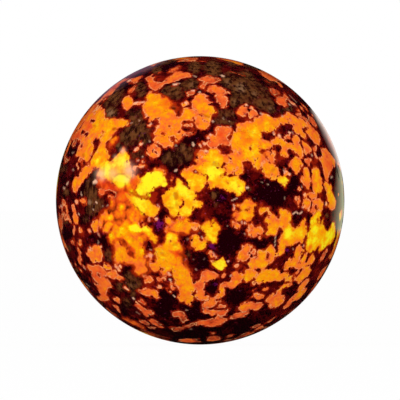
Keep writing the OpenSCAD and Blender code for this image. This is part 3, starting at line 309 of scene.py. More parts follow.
    "orange_grains_centre": """
72 30 3 -52 8 -47 13 -43 18 -41 19 -45 20 -50 22 -50 23 -45 24 -41 26 -38 28 -42 33 -46 37 -51 39
-56 36 -60 34 -66 31 -69 31 -76 30 -82 25 -83 19 -80 15 -80 11 -77 10 -70 10 -62 7 -59 4 -56 / 20 70
-69 -42 -62 -47 -50 -43 -40 -30 -30 -34 -24 -36 -17 -44 -16 -52 -19 -58 -25 -65 -40 -62 -46 -72 -40
-84 -34 -98 -38 -104 -30 -115 -30 -128 -20 -140 -17 -152 -30 -150 -54 -140 -56 -135 -64 -140 -70
-150 -80 -140 -90 -128 -86 -112 -89 -100 -88 -92 -76 -88 -68 -80 -66 -66 -69 -55 / 48 30 -62 -44 -55
-42 -46 -42 -38 -42 -32 -41 -26 -38 -20 -39 -17 -44 -15 -48 -17 -53 -19 -57 -23 -59 -25 -65 -28 -63
-34 -61 -41 -62 -48 -62 -55 -60 -60 -56 -61 -50 / 58 10 -69 -36 -67 -33 -60 -34 -56 -39 -55 -44 -59
-48 -65 -47 -69 -43 / 35 5 -68 -49 -65 -50 -62 -52 -64 -56 -67 -58 -69 -54 / 30 5 -69 -60 -66 -60
-66 -63 -69 -62 / 42 5 -18 -51 -17 -47 -13 -43 -9 -42 -5 -44 -3 -48 -2 -52 -4 -56 -8 -59 -12 -59 -15
-57 / 62 10 -17 -71 -12 -67 -7 -68 -3 -71 -2 -76 0 -81 3 -84 6 -80 8 -77 12 -80 13 -84 10 -90 7 -95
2 -98 -5 -99 -12 -96 -17 -91 -19 -86 -17 -80 -18 -75 / 20 5 3 -72 5 -73 6 -76 4 -75 / 25 5 -101 -33
-99 -33 -99 -41 -101 -40 / 15 5 -88 -35 -86 -34 -84 -37 -87 -38 / 20 5 -84 -9 -82 -8 -79 -13 -81 -12
/ 40 30 -9 78 -5 84 -6 92 -2 99 3 100 7 94 12 90 16 86 14 80 12 72 2 66 -4 62 -12 62 -20 66 -14 70
-9 69 -6 73 / 48 15 50 87 56 86 58 79 56 74 50 73 46 76 46 82 / 42 10 118 70 120 78 122 86 126 92
130 98 136 98 142 99 147 97 148 91 146 86 148 80 146 75 141 73 134 76 126 74 / 20 5 -60 45 -57 47
-53 46 -52 42 -55 39 -58 42 / 35 5 10 100 12 101 16 94 14 93 / 30 5 -3 110 0 109 4 104 1 104
""",
    "orange_grains_right": """
60 30 70 -7 74 -8 79 -10 84 -7 88 -2 90 2 96 3 99 -1 104 -4 108 -7 106 -14 105 -20 105 -28 102 -35
98 -39 90 -39 84 -37 80 -41 76 -41 70 -37 67 -31 64 -28 66 -25 72 -23 79 -23 83 -21 90 -20 97 -19 97
-16 90 -16 86 -18 81 -17 76 -14 71 -11 / 40 15 63 -41 66 -40 69 -43 73 -45 79 -49 80 -52 76 -54 68
-55 64 -50 62 -45 / 35 5 65 -9 67 -14 67 -18 63 -19 64 -16 / 35 5 80 -43 82 -42 84 -44 82 -46 / 35 5
86 -45 88 -43 90 -45 88 -47 / 42 20 94 -47 98 -49 102 -43 104 -48 105 -53 109 -54 113 -51 117 -50
119 -53 118 -56 121 -54 124 -59 127 -61 124 -64 120 -66 116 -66 112 -65 111 -69 107 -73 102 -72 98
-68 93 -65 91 -61 92 -57 97 -59 96 -53 / 35 5 114 -74 116 -72 120 -75 119 -77 116 -76 / 50 15 117
-19 121 -16 125 -14 123 -11 126 -12 130 -15 134 -14 137 -16 135 -18 138 -22 139 -26 136 -28 134 -23
130 -19 126 -22 122 -26 119 -26 117 -23 / 58 20 155 -20 160 -16 163 -19 168 -20 172 -21 175 -24 178
-26 179 -34 179 -39 176 -40 175 -44 179 -50 184 -55 188 -55 194 -49 200 -43 203 -39 206 -37 208 -39
206 -44 208 -50 211 -57 210 -64 207 -72 203 -77 200 -84 197 -80 193 -81 190 -83 188 -85 185 -87 180
-91 177 -92 174 -88 171 -87 167 -90 165 -96 166 -102 160 -107 154 -109 149 -110 147 -106 153 -104
154 -98 152 -93 153 -88 154 -82 157 -75 161 -68 163 -62 162 -55 160 -51 158 -52 155 -46 154 -40 156
-34 158 -29 156 -24 / 50 15 142 -27 146 -29 150 -33 152 -36 155 -38 156 -46 155 -52 153 -58 151 -64
149 -68 147 -69 142 -66 136 -68 130 -69 127 -66 131 -62 133 -57 132 -53 133 -48 131 -42 127 -41 126
-38 131 -35 136 -33 139 -30 / 50 10 220 0 224 3 230 5 235 2 239 -1 243 -6 242 -13 240 -20 236 -22
232 -19 230 -22 232 -17 230 -12 228 -15 228 -21 226 -26 223 -27 219 -23 214 -22 212 -20 215 -19 220
-17 222 -13 221 -8 222 -4 / 40 10 203 2 208 3 214 2 218 -1 218 -7 216 -12 212 -16 208 -17 204 -14
201 -11 202 -10 206 -10 204 -6 202 -7 204 -3 / 30 5 201 12 204 14 208 13 210 10 206 6 203 8 / 42 8
186 5 188 8 192 9 196 6 197 1 197 -4 195 -9 194 -12 193 -8 190 -4 188 1 / 45 10 252 16 257 13 261 9
265 4 268 -1 268 -7 266 -13 262 -17 258 -18 254 -16 253 -11 254 -5 252 2 250 8 250 14 / 30 5 248 -3
250 -6 250 -10 248 -11 247 -8 / 55 10 121 66 124 73 132 77 140 75 146 72 150 67 154 62 156 56 155 50
151 46 147 43 141 42 136 43 132 47 127 50 123 55 121 60 / 40 5 163 50 166 55 164 60 166 62 168 57
173 56 177 52 176 50 171 53 168 48 166 46 / 40 10 198 41 201 49 204 56 204 62 207 66 211 64 214 58
215 50 217 43 218 35 216 28 213 23 209 26 204 30 200 36 / 55 15 221 60 225 64 229 66 234 62 236 55
236 48 240 43 241 37 240 30 242 24 239 18 234 15 229 10 225 14 222 21 221 30 220 40 221 50 / 52 10
245 38 250 36 254 32 258 33 260 27 259 20 261 14 265 8 268 1 268 -7 265 -14 260 -18 255 -14 253 -6
251 2 249 10 248 18 246 26 244 32 / 42 10 212 14 216 19 222 16 228 12 232 8 228 4 222 3 217 6 / 35 5
203 11 206 15 210 11 208 7 205 8 / 40 5 191 20 193 25 195 27 198 22 197 19
""",
    "orange_grains_lower_left": """
14 80 -176 8 -170 14 -166 17 -150 17 -140 10 -140 0 -132 -8 -124 -16 -116 -24 -110 -30 -112 -38 -120
-45 -116 -60 -104 -66 -100 -74 -112 -78 -112 -92 -110 -108 -102 -120 -100 -130 -100 -142 -112 -146
-124 -146 -130 -138 -128 -128 -140 -124 -152 -121 -164 -124 -170 -118 -168 -108 -168 -96 -170 -88
-176 -82 -180 -74 -178 -64 -190 -62 -191 -52 -200 -54 -200 -40 -196 -30 -190 -23 -178 -18 -174 -8 /
52 40 -176 -62 -173 -54 -166 -50 -158 -52 -150 -54 -142 -58 -136 -61 -128 -64 -121 -67 -116 -72 -114
-80 -113 -88 -112 -95 -113 -103 -113 -110 -118 -112 -125 -111 -129 -106 -126 -99 -127 -95 -133 -92
-139 -87 -144 -80 -150 -75 -157 -73 -164 -74 -170 -78 -176 -80 -179 -73 / 45 20 -170 -87 -166 -82
-161 -81 -157 -85 -154 -89 -150 -93 -146 -100 -141 -108 -135 -113 -128 -117 -119 -116 -112 -115 -107
-117 -107 -122 -109 -127 -107 -131 -103 -134 -102 -139 -107 -142 -113 -142 -118 -145 -122 -146 -126
-143 -131 -140 -129 -137 -126 -132 -129 -127 -136 -124 -144 -123 -150 -120 -156 -121 -162 -125 -165
-122 -169 -119 -170 -112 -168 -106 -166 -100 -167 -93 / 35 5 -192 -128 -188 -124 -183 -124 -179 -128
-175 -133 -176 -137 -180 -138 -185 -136 -190 -132 / 40 5 -170 -128 -167 -126 -163 -128 -161 -131
-162 -134 -166 -132 -169 -130 / 40 5 -162 -137 -159 -136 -157 -138 -158 -140 -160 -140 / 40 5 -158
-128 -155 -131 -156 -133 -158 -131 / 26 10 -224 -133 -221 -128 -218 -127 -214 -130 -209 -131 -206
-129 -202 -126 -197 -129 -192 -132 -189 -138 -185 -144 -186 -150 -182 -155 -178 -160 -174 -165 -172
-170 -174 -172 -179 -171 -183 -175 -185 -180 -185 -185 -182 -190 -180 -195 -184 -198 -190 -199 -196
-198 -202 -195 -205 -190 -200 -189 -195 -188 -197 -184 -200 -179 -202 -174 -204 -169 -207 -166 -205
-164 -200 -165 -204 -161 -209 -157 -211 -153 -215 -149 -215 -144 -214 -140 -218 -138 -221 -135 / 32
10 -187 -142 -184 -140 -179 -140 -176 -138 -171 -136 -167 -138 -164 -143 -160 -147 -155 -150 -151
-152 -153 -156 -158 -158 -161 -155 -165 -154 -169 -152 -172 -156 -176 -153 -180 -149 -183 -148 / 42
5 -150 -172 -148 -169 -145 -171 -141 -175 -140 -178 -143 -176 -147 -174 / 30 10 -171 -195 -169 -192
-164 -191 -160 -194 -158 -199 -159 -203 -162 -203 -165 -200 -169 -198 / 18 10 -172 -206 -168 -206
-164 -208 -161 -212 -160 -217 -159 -221 -163 -218 -165 -213 -169 -210 / 2 40 -153 -231 -143 -233
-132 -237 -123 -241 -115 -247 -110 -252 -114 -254 -125 -249 -135 -244 -145 -238 -152 -235 / 4 30
-116 -254 -106 -258 -96 -261 -87 -265 -81 -269 -86 -269 -96 -266 -106 -262 -115 -258 / 42 5 -109
-160 -108 -156 -103 -153 -100 -150 -96 -151 -93 -155 -90 -158 -92 -161 -98 -161 -104 -162 -107 -163
/ 28 20 -118 -143 -113 -144 -108 -148 -104 -151 -106 -154 -110 -151 -115 -147 / 34 10 -125 -178 -121
-175 -116 -176 -112 -174 -109 -177 -108 -173 -103 -173 -98 -175 -92 -176 -87 -175 -83 -178 -83 -183
-84 -187 -81 -190 -82 -193 -86 -195 -90 -192 -93 -188 -97 -186 -99 -188 -100 -190 -103 -188 -109
-186 -115 -184 -120 -182 / 12 10 -121 -197 -118 -196 -114 -193 -112 -195 -112 -198 -108 -200 -107
-203 -110 -206 -113 -206 -116 -203 -119 -200 / 22 10 -129 -199 -125 -200 -121 -204 -117 -208 -112
-211 -107 -214 -102 -214 -98 -216 -93 -220 -91 -224 -94 -227 -98 -227 -102 -229 -106 -230 -110 -228
-112 -224 -116 -220 -117 -216 -122 -212 -127 -210 -130 -207 -126 -204 / 14 10 -99 -238 -97 -234 -93
-234 -88 -236 -84 -239 -81 -244 -76 -245 -74 -246 -80 -248 -87 -247 -93 -245 -96 -242 / 14 10 -119
-238 -116 -236 -111 -238 -105 -240 -101 -243 -101 -246 -105 -246 -111 -244 -117 -241 / 10 10 -103
-250 -97 -250 -91 -250 -87 -250 -90 -253 -95 -254 -100 -253 / 55 20 -88 -96 -84 -90 -77 -87 -71 -89
-67 -94 -62 -99 -56 -102 -52 -106 -50 -112 -48 -119 -50 -127 -54 -132 -57 -136 -62 -137 -66 -141 -72
-138 -77 -135 -83 -139 -89 -139 -95 -135 -100 -130 -102 -125 -98 -121 -93 -124 -88 -122 -86 -117 -86
-110 -89 -103 / 35 5 -101 -105 -97 -103 -94 -106 -93 -111 -95 -115 -99 -114 -102 -111 -106 -111 -110
-112 -111 -110 -107 -108 / 30 5 -100 -119 -98 -117 -95 -121 -93 -124 -96 -124 / 25 5 -114 -48 -110
-46 -107 -48 -110 -51 -113 -50
""",
    "orange_grains_base": """
35 5 16 -105 18 -101 21 -101 24 -105 28 -109 32 -111 32 -114 28 -113 23 -114 22 -110 19 -107 / 35 5
22 -119 25 -117 27 -116 25 -120 / 35 5 66 -129 69 -126 73 -125 76 -126 76 -130 74 -135 71 -134 / 35
5 53 -119 55 -118 56 -120 54 -121 / 38 10 6 -140 10 -137 16 -138 22 -139 28 -142 34 -145 38 -147 36
-152 31 -153 26 -154 20 -156 15 -158 10 -160 9 -164 8 -170 5 -176 7 -180 11 -184 15 -188 16 -190 12
-193 6 -196 0 -197 -6 -196 -9 -192 -9 -186 -7 -181 -8 -177 -12 -175 -14 -170 -14 -164 -10 -161 -5
-160 -1 -156 2 -150 3 -145 / 35 5 40 -149 42 -145 46 -145 50 -142 51 -145 48 -149 44 -151 41 -151 /
30 5 58 -147 60 -145 62 -147 60 -149 / 30 10 15 -195 20 -192 25 -191 30 -192 32 -197 33 -202 29 -207
23 -210 17 -211 12 -211 14 -214 19 -216 25 -216 31 -216 37 -218 43 -217 49 -216 53 -216 55 -214 53
-220 50 -224 51 -227 46 -228 41 -228 36 -226 33 -222 29 -223 25 -227 20 -224 17 -221 12 -223 7 -222
4 -219 5 -214 1 -211 3 -206 7 -201 11 -197 / 40 10 35 -184 38 -180 38 -174 40 -168 43 -163 48 -160
53 -161 58 -159 61 -154 62 -148 65 -142 69 -140 73 -141 76 -145 81 -142 84 -148 84 -154 80 -157 81
-160 78 -163 73 -166 69 -170 63 -173 57 -172 51 -170 47 -172 47 -177 49 -182 46 -188 41 -191 36 -192
31 -191 31 -188 35 -186 / 20 10 35 -211 38 -206 42 -204 46 -205 50 -207 49 -210 44 -211 39 -212 / 20
20 34 -197 38 -196 41 -198 38 -201 / 20 10 -6 -240 -3 -236 3 -237 9 -236 15 -235 21 -234 27 -232 31
-229 34 -226 38 -227 41 -230 45 -232 50 -233 54 -234 53 -237 49 -238 46 -242 40 -245 33 -247 27 -249
20 -249 13 -248 7 -246 2 -245 -2 -245 -6 -247 -10 -246 / 0 20 14 -276 17 -270 21 -269 27 -268 34
-268 39 -270 41 -273 37 -276 30 -278 23 -278 17 -278 / 0 20 52 -269 57 -266 63 -265 66 -266 61 -269
55 -271 / 30 10 -86 -153 -83 -151 -79 -153 -74 -152 -70 -151 -68 -153 -69 -157 -72 -160 -76 -160 -80
-160 -83 -158 / 42 5 -86 -170 -83 -168 -80 -166 -77 -168 -76 -171 -78 -174 -81 -174 -84 -172 / 12 15
-55 -225 -52 -221 -47 -219 -42 -218 -36 -218 -33 -221 -31 -226 -29 -231 -25 -236 -29 -236 -31 -240
-35 -241 -38 -238 -40 -233 -43 -229 -47 -229 -50 -232 -53 -230 / 6 15 -58 -252 -54 -250 -46 -251 -38
-250 -30 -248 -22 -245 -16 -242 -11 -241 -10 -243 -14 -247 -20 -249 -28 -250 -33 -254 -39 -258 -46
-259 -53 -258 -56 -255 / 30 30 -66 -136 -72 -137 -78 -136 -80 -142 -74 -148 -69 -151 -65 -148 -63
-142 / 50 15 -55 -147 -55 -140 -52 -134 -48 -130 -46 -122 -46 -115 -42 -117 -38 -122 -33 -126 -31
-131 -27 -134 -23 -139 -19 -143 -17 -149 -16 -156 -14 -162 -9 -164 -4 -161 -1 -156 2 -150 1 -144 5
-140 10 -137 12 -142 9 -150 6 -158 7 -166 4 -174 1 -180 -4 -184 -7 -176 -10 -175 -14 -181 -18 -184
-17 -188 -12 -190 -14 -195 -18 -199 -17 -205 -20 -207 -25 -205 -29 -201 -32 -198 -37 -199 -42 -195
-44 -190 -42 -184 -42 -178 -44 -173 -48 -168 -50 -162 -48 -157 -50 -152 / 26 15 -58 -162 -55 -163
-52 -167 -50 -171 -53 -175 -57 -174 -59 -170 -59 -166 / 18 10 -65 -174 -62 -174 -58 -177 -55 -182
-58 -183 -61 -180 -63 -177 / 35 5 -63 -146 -61 -142 -59 -144 -60 -149 -62 -149
""",
    "orange_grains_lower_right": """
42 15 82 -88 86 -90 92 -86 98 -87 102 -91 99 -96 96 -100 91 -105 92 -107 96 -105 96 -110 95 -113 90
-119 86 -121 80 -119 76 -121 74 -119 76 -117 72 -115 73 -112 74 -108 77 -102 80 -97 82 -95 81 -91 /
35 10 107 -92 110 -96 108 -101 108 -106 105 -110 102 -107 99 -103 102 -99 104 -96 / 52 12 115 -102
115 -99 118 -98 121 -100 127 -100 131 -101 131 -108 131 -116 133 -116 136 -108 134 -102 131 -98 132
-94 135 -90 139 -87 143 -89 145 -94 147 -98 148 -104 152 -105 155 -109 150 -111 146 -113 144 -118
140 -122 135 -125 130 -130 126 -133 120 -134 116 -133 112 -134 108 -135 106 -139 110 -140 114 -142
113 -145 111 -148 113 -151 110 -153 106 -150 103 -153 100 -158 96 -160 91 -161 86 -157 84 -152 85
-147 88 -143 88 -138 90 -134 96 -135 99 -133 96 -128 94 -123 97 -119 100 -115 104 -113 110 -111 114
-107 / 52 10 120 -136 126 -135 131 -136 137 -135 143 -137 150 -136 155 -138 158 -141 160 -145 165
-142 169 -141 172 -143 176 -148 181 -151 181 -156 179 -161 182 -165 179 -167 176 -168 172 -171 167
-171 163 -173 159 -176 158 -174 157 -171 160 -168 166 -165 172 -164 177 -163 176 -159 170 -160 167
-156 170 -150 167 -151 162 -156 156 -159 150 -158 145 -158 141 -160 137 -159 133 -158 130 -160 127
-163 126 -160 124 -158 121 -162 118 -166 115 -165 112 -161 109 -160 110 -155 112 -150 111 -146 114
-143 119 -142 121 -139 / 30 10 103 -161 108 -160 109 -165 105 -167 102 -164 / 35 5 124 -176 127 -173
131 -170 136 -170 137 -172 134 -176 130 -179 126 -177 / 36 10 150 -183 152 -178 156 -176 159 -175
158 -179 159 -183 161 -187 164 -186 167 -188 167 -192 165 -197 161 -203 156 -208 150 -211 144 -211
139 -212 136 -210 140 -207 136 -207 133 -205 137 -202 134 -200 130 -198 132 -193 136 -188 140 -184
145 -183 148 -186 / 35 8 104 -183 107 -181 112 -181 116 -185 121 -186 126 -188 124 -192 119 -194 115
-197 111 -194 108 -190 105 -188 / 35 5 102 -177 105 -174 109 -174 106 -178 104 -180 / 30 5 99 -191
102 -189 103 -191 100 -193 / 34 10 74 -213 78 -209 82 -205 87 -201 93 -200 100 -200 105 -202 108
-204 112 -201 118 -201 122 -204 124 -206 121 -210 116 -214 110 -216 104 -215 99 -214 96 -217 90 -220
84 -221 80 -219 79 -216 75 -215 / 22 15 59 -231 63 -227 68 -224 74 -222 80 -221 86 -219 92 -218 97
-218 96 -222 91 -226 86 -229 82 -231 77 -230 72 -232 66 -234 61 -234 / 42 10 213 -153 214 -157 212
-163 208 -169 204 -174 201 -179 202 -184 200 -190 196 -194 191 -197 186 -198 182 -197 180 -201 178
-206 174 -210 170 -213 166 -214 163 -213 167 -208 172 -202 176 -196 181 -191 186 -187 191 -182 195
-178 192 -176 194 -171 198 -166 203 -161 208 -157 / 50 10 207 -128 211 -129 215 -132 218 -138 217
-143 213 -148 208 -152 204 -156 199 -160 195 -164 193 -162 194 -158 189 -157 185 -158 184 -155 188
-152 193 -149 197 -145 200 -140 203 -136 200 -133 / 48 10 195 -87 198 -90 201 -95 204 -98 206 -101
203 -104 200 -108 197 -113 195 -118 192 -123 192 -126 195 -125 198 -119 201 -114 204 -109 207 -104
210 -101 212 -104 210 -110 209 -116 207 -122 205 -127 208 -124 212 -119 215 -113 218 -108 221 -106
223 -110 226 -116 224 -121 219 -126 214 -129 207 -130 200 -134 194 -136 188 -134 182 -131 176 -131
174 -134 173 -139 170 -140 166 -137 162 -133 166 -129 168 -123 171 -118 174 -115 177 -114 178 -118
182 -119 181 -115 184 -110 186 -104 188 -98 190 -92 / 15 15 250 -97 252 -99 248 -106 245 -112 241
-118 237 -121 236 -117 239 -112 242 -106 246 -100 / 30 5 203 -89 205 -87 207 -90 205 -92 / 25 10 189
-141 192 -138 195 -140 193 -144 190 -144 / 20 20 183 -144 186 -142 188 -148 186 -152 184 -149 / 20
10 246 -133 248 -132 247 -138 243 -145 239 -151 235 -156 232 -157 233 -152 236 -146 240 -139 / 5 20
231 -162 232 -164 228 -170 224 -176 219 -179 220 -176 224 -171 228 -165 / 0 20 75 -270 82 -266 89
-262 96 -260 99 -262 94 -266 87 -270 80 -273 / 10 5 131 -242 137 -237 143 -233 149 -230 147 -233 141
-238 135 -242
""",
    "pale_yellow_chip": """
100 10 22 -126 28 -122 33 -119 39 -116 44 -113 49 -117 50 -122 51 -127 48 -132 45 -137 42 -139 38
-138 33 -134 27 -130
""",
    "yellow_grains_left": """
72 20 -148 16 -142 13 -135 11 -127 8 -119 4 -111 3 -103 1 -98 -1 -95 -5 -93 -9 -88 -12 -83 -15 -80
-19 -83 -23 -86 -26 -87 -29 -92 -31 -98 -32 -104 -30 -110 -27 -115 -23 -120 -18 -126 -12 -132 -8
-138 -3 -142 3 -146 9 / 88 10 -139 -54 -135 -50 -129 -47 -123 -47 -120 -50 -118 -54 -114 -56 -113
-59 -117 -62 -123 -63 -130 -62 -136 -59 / 72 30 -115 -54 -110 -51 -104 -51 -99 -53 -96 -57 -95 -62
-93 -68 -88 -68 -86 -71 -85 -78 -87 -84 -91 -83 -93 -79 -98 -75 -103 -71 -106 -68 -110 -64 -114 -61
/ 94 20 -126 20 -122 30 -118 38 -114 45 -110 50 -104 53 -98 54 -93 56 -88 58 -82 57 -76 54 -72 50
-69 46 -67 41 -66 36 -65 31 -69 28 -73 28 -77 31 -81 30 -85 27 -90 23 -92 20 -97 18 -102 16 -106 12
-111 10 -117 9 -122 12 -125 16 / 74 12 -202 50 -198 60 -198 67 -192 74 -184 79 -178 77 -172 79 -168
84 -160 92 -155 99 -152 104 -148 99 -145 93 -140 89 -138 83 -142 79 -138 69 -134 60 -131 51 -134 47
-137 42 -139 38 -143 31 -150 26 -160 24 -168 30 -176 36 -182 39 -188 42 -196 44 -201 47 / 96 10 -170
42 -167 47 -162 50 -156 51 -150 50 -145 46 -140 41 -142 36 -146 32 -150 30 -152 25 -157 23 -162 26
-166 31 -170 36
""",
    "yellow_grains_centre": """
74 15 -67 -90 -70 -84 -69 -78 -67 -72 -66 -66 -62 -63 -56 -63 -49 -65 -45 -70 -46 -76 -43 -82 -39
-87 -38 -93 -42 -98 -50 -100 -58 -99 -64 -95 / 78 15 -73 2 -73 8 -69 14 -64 20 -58 26 -50 25 -47 32
-48 38 -46 42 -42 41 -38 38 -33 33 -27 28 -22 24 -17 21 -12 18 -8 14 -6 10 -7 6 -10 3 -12 -2 -8 0 -3
-1 3 -3 5 -7 3 -11 -4 -14 -12 -16 -17 -21 -18 -27 -24 -32 -32 -34 -36 -31 -39 -26 -41 -21 -44 -26
-46 -30 -50 -32 -55 -29 -60 -23 -62 -16 -68 -14 -70 -8 -73 -3 / 66 10 -37 53 -33 58 -27 62 -22 66
-15 69 -8 66 -4 62 0 58 4 52 8 50 12 45 12 38 9 31 5 24 2 18 -6 16 -12 17 -18 20 -22 25 -24 31 -23
38 -27 40 -32 46 / 70 20 12 92 18 98 26 100 34 99 38 94 44 89 48 84 46 76 44 70 40 67 34 68 26 70 18
74 10 79 4 84 8 88 / 74 10 0 70 6 75 14 77 22 74 28 70 34 66 40 65 44 62 46 57 44 52 46 48 52 46 58
44 65 46 72 47 78 43 83 39 88 33 90 28 87 21 82 16 77 11 72 7 69 13 67 18 62 18 55 16 50 20 44 24 36
27 28 28 22 23 17 23 16 30 14 36 16 42 17 48 13 51 8 50 3 53 -1 58 -2 64
""",
    "yellow_grains_right": """
78 35 219 -33 224 -29 228 -25 230 -21 233 -18 237 -20 239 -26 237 -31 236 -37 235 -43 233 -45 232
-41 230 -38 229 -44 232 -48 236 -47 239 -49 240 -44 241 -38 243 -37 243 -42 242 -48 245 -54 248 -60
253 -60 256 -55 259 -50 262 -46 265 -45 266 -50 267 -57 267 -64 266 -71 264 -77 260 -82 256 -86 250
-90 245 -94 240 -98 236 -101 234 -98 237 -93 235 -91 231 -92 229 -96 224 -99 219 -102 214 -101 210
-97 209 -92 209 -84 211 -76 213 -70 214 -63 216 -56 218 -50 218 -44 218 -38 / 80 10 153 40 156 46
161 49 165 50 168 47 172 43 174 40 170 34 167 29 165 25 161 30 157 35
""",
    "brown_feldspar_crown": """
0 100 42 248 60 256 84 252 104 242 126 228 136 216 139 202 146 188 150 174 136 176 120 179 113 186
100 189 82 190 69 184 64 196 62 212 50 224 42 234 / 0 100 36 180 50 176 62 180 68 172 70 160 66 152
58 148 44 149 32 150 28 159 34 168 / 0 100 -72 222 -52 229 -30 236 -12 234 -4 226 -14 220 -28 216
-36 204 -48 196 -60 204 -70 208
""",
    "brown_feldspar_shoulder": """
0 100 -189 192 -178 214 -162 226 -150 230 -152 214 -156 202 -164 186 -166 174 -162 164 -184 165 -186
180 / 0 100 -130 176 -116 178 -114 169 -107 150 -96 138 -104 122 -118 114 -132 106 -144 108 -154 116
-156 130 -142 144 -138 156 -142 166 / 0 100 -124 220 -114 232 -106 224 -106 212 -114 204 -124 206
""",
    "brown_feldspar_lower_left": """
0 100 -223 39 -214 43 -206 26 -202 10 -190 0 -188 -12 -200 -22 -212 -30 -224 -26 -224 -15 -218 -7
-216 2 -220 10 -225 24 / 0 100 -154 -162 -144 -144 -130 -146 -116 -154 -112 -166 -126 -172 -134 -182
-137 -172 -143 -166 -151 -166 / 0 100 -187 -100 -182 -94 -176 -102 -173 -118 -178 -122 -188 -118
""",
    "brown_feldspar_slab": """
0 100 -76 86 -60 96 -36 104 -16 104 -12 92 -20 80 -36 74 -54 68 -72 74
""",
}

# Dark pockets inside the glowing grains, drawn like grains.
HOLES: list[Grain] = grains("""
0 0 148 -95 152 -98 152 -102 149 -104 147 -100 / 0 0 -120 -49 -116 -47 -112 -50 -112 -54 -116 -55 /
0 0 -36 -7 -33 -4 -31 -6 -31 -9 -36 -12 -39 -15 -42 -16 -40 -11 / 0 0 -43 -22 -41 -22 -40 -28 -36
-33 -40 -34 -43 -31 -42 -26 / 0 0 -88 -26 -84 -23 -78 -20 -79 -25 -82 -28 -86 -28 / 0 20 -204 -146
-201 -143 -198 -146 -195 -151 -197 -152 -201 -149 / 0 0 -12 -177 -9 -177 -7 -181 -9 -187 -15 -187
-17 -185 -11 -183 / 0 10 -94 97 -90 98 -85 97 -82 93 -84 91 -86 94 -90 95 / 0 0 -236 131 -234 139
-232 139 -231 135 -226 134 -222 134 -220 129 -219 125 -223 128 -227 127 -230 131 / 0 10 -188 17 -182
20 -175 17 -170 16 -166 10 -169 6 -173 11 -178 14 -186 12 / 0 20 -78 130 -76 134 -73 135 -70 131 -67
131 -70 128 -74 129 / 0 30 -16 55 -13 60 -9 62 -5 60 -2 55 -6 51 -10 51 -14 52 / 0 0 12 50 15 50 16
44 14 41 12 45 / 0 0 95 103 99 105 102 102 100 99 97 99 / 0 0 103 86 107 84 112 85 111 82 107 80 105
83 / 0 40 119 102 124 100 127 94 129 88 125 89 121 96 / 0 20 59 81 61 82 62 76 60 74 / 0 0 46 66 50
65 53 60 50 59 47 62 / 0 20 40 104 46 109 52 108 60 106 63 101 60 96 56 95 52 90 46 91 43 96 40 99 /
0 10 1 82 4 87 6 86 3 82 / 0 0 12 37 15 37 14 31 12 31 / 0 0 -217 157 -215 161 -210 160 -207 157
-211 153 -215 153 / 0 0 161 147 165 151 170 151 176 151 181 149 183 144 181 140 176 141 170 141 166
142 163 145 / 0 0 7 156 10 159 15 158 13 156 9 155
""")

# Dark cracks and slits across the glowing grains.
SLITS: list[Streak] = streaks("""
15.8 -5.5 15 -9.1 .28 / 15 -9.6 15 -10.3 .15 / 13.2 -10.3 13.1 -11.7 .1 /
11.5 -13.7 12 -14 .18 / 11.2 -14.7 11.2 -14.6 .18 / 20.3 -10.3 19.4 -12.3 .14 /
23.1 -3.8 23.3 -4.5 .16 / 23.9 -3 23.7 -4.2 .16 / 22.8 -1.1 22.8 -2 .14 /
-3.3 .1 -3.3 -.1 .15 / -2.8 2.9 -2.2 2.4 .12 / -1.3 -.6 -.9 0 .13 /
-6 -8 -5.9 -8 .18 / -7.7 -13.4 -7.1 -13.5 .13 / -17.3 -5.4 -17.8 -6.3 .13 /
-15.9 -7.9 -15.2 -8.4 .16 / -15.2 -8.4 -14.3 -9.3 .24 / -14.3 -9.3 -13.4 -10.8 .2 /
-19.6 -14.6 -18.6 -15.1 .08 / -6 14.5 -5.9 14.5 .15 / -4.3 13.2 -4 13.5 .22 /
-8.7 14.2 -8.5 14.3 .15 / -20.5 12.3 -20.9 10.8 .14 / -20.9 10.8 -21.3 8.6 .16 /
-19 13.6 -19.6 12.6 .12 / -19.6 12.6 -20.4 9.8 .2 / 8.1 14.6 8.2 14.5 .22 /
12.2 7.5 12.2 7.4 .16 / 5.9 5.1 7.1 6.2 .15 / 4.7 5 4.9 5.2 .2 / 5.4 3.5 5.4 3.4 .15 /
7.6 2.7 7.7 2.6 .2 / 3.9 4.8 4.2 4.9 .14 / 14.1 9.2 14.4 9.2 .16 / 13.3 7.8 13.7 7.3 .16 /
14.2 5 14.4 4.8 .18 / -1.3 16.2 -1.3 15.9 .18 / -21 17.3 -20.2 18.5 .1 /
-20.1 18.9 -19.4 19.7 .14 / 17.5 15.9 17.8 15.6 .12 / 2.9 -9.9 2.9 -9.9 .1 /
-23.6 -5.7 -23.6 -5.7 .1 / -5.6 4.4 -5.6 4.4 .12 / -1.2 -5.3 -1 -5.2 .16 /
-3.9 3.8 -4.3 3.9 .1 / -18.4 10.9 -18.3 10.5 .3 / -17.6 9.9 -17.5 8.6 .22 /
7 9.9 7.6 9.4 .1 / 12.9 8.7 13.2 8.4 .1 / 22.2 -14.9 22.4 -14.6 .12
""")

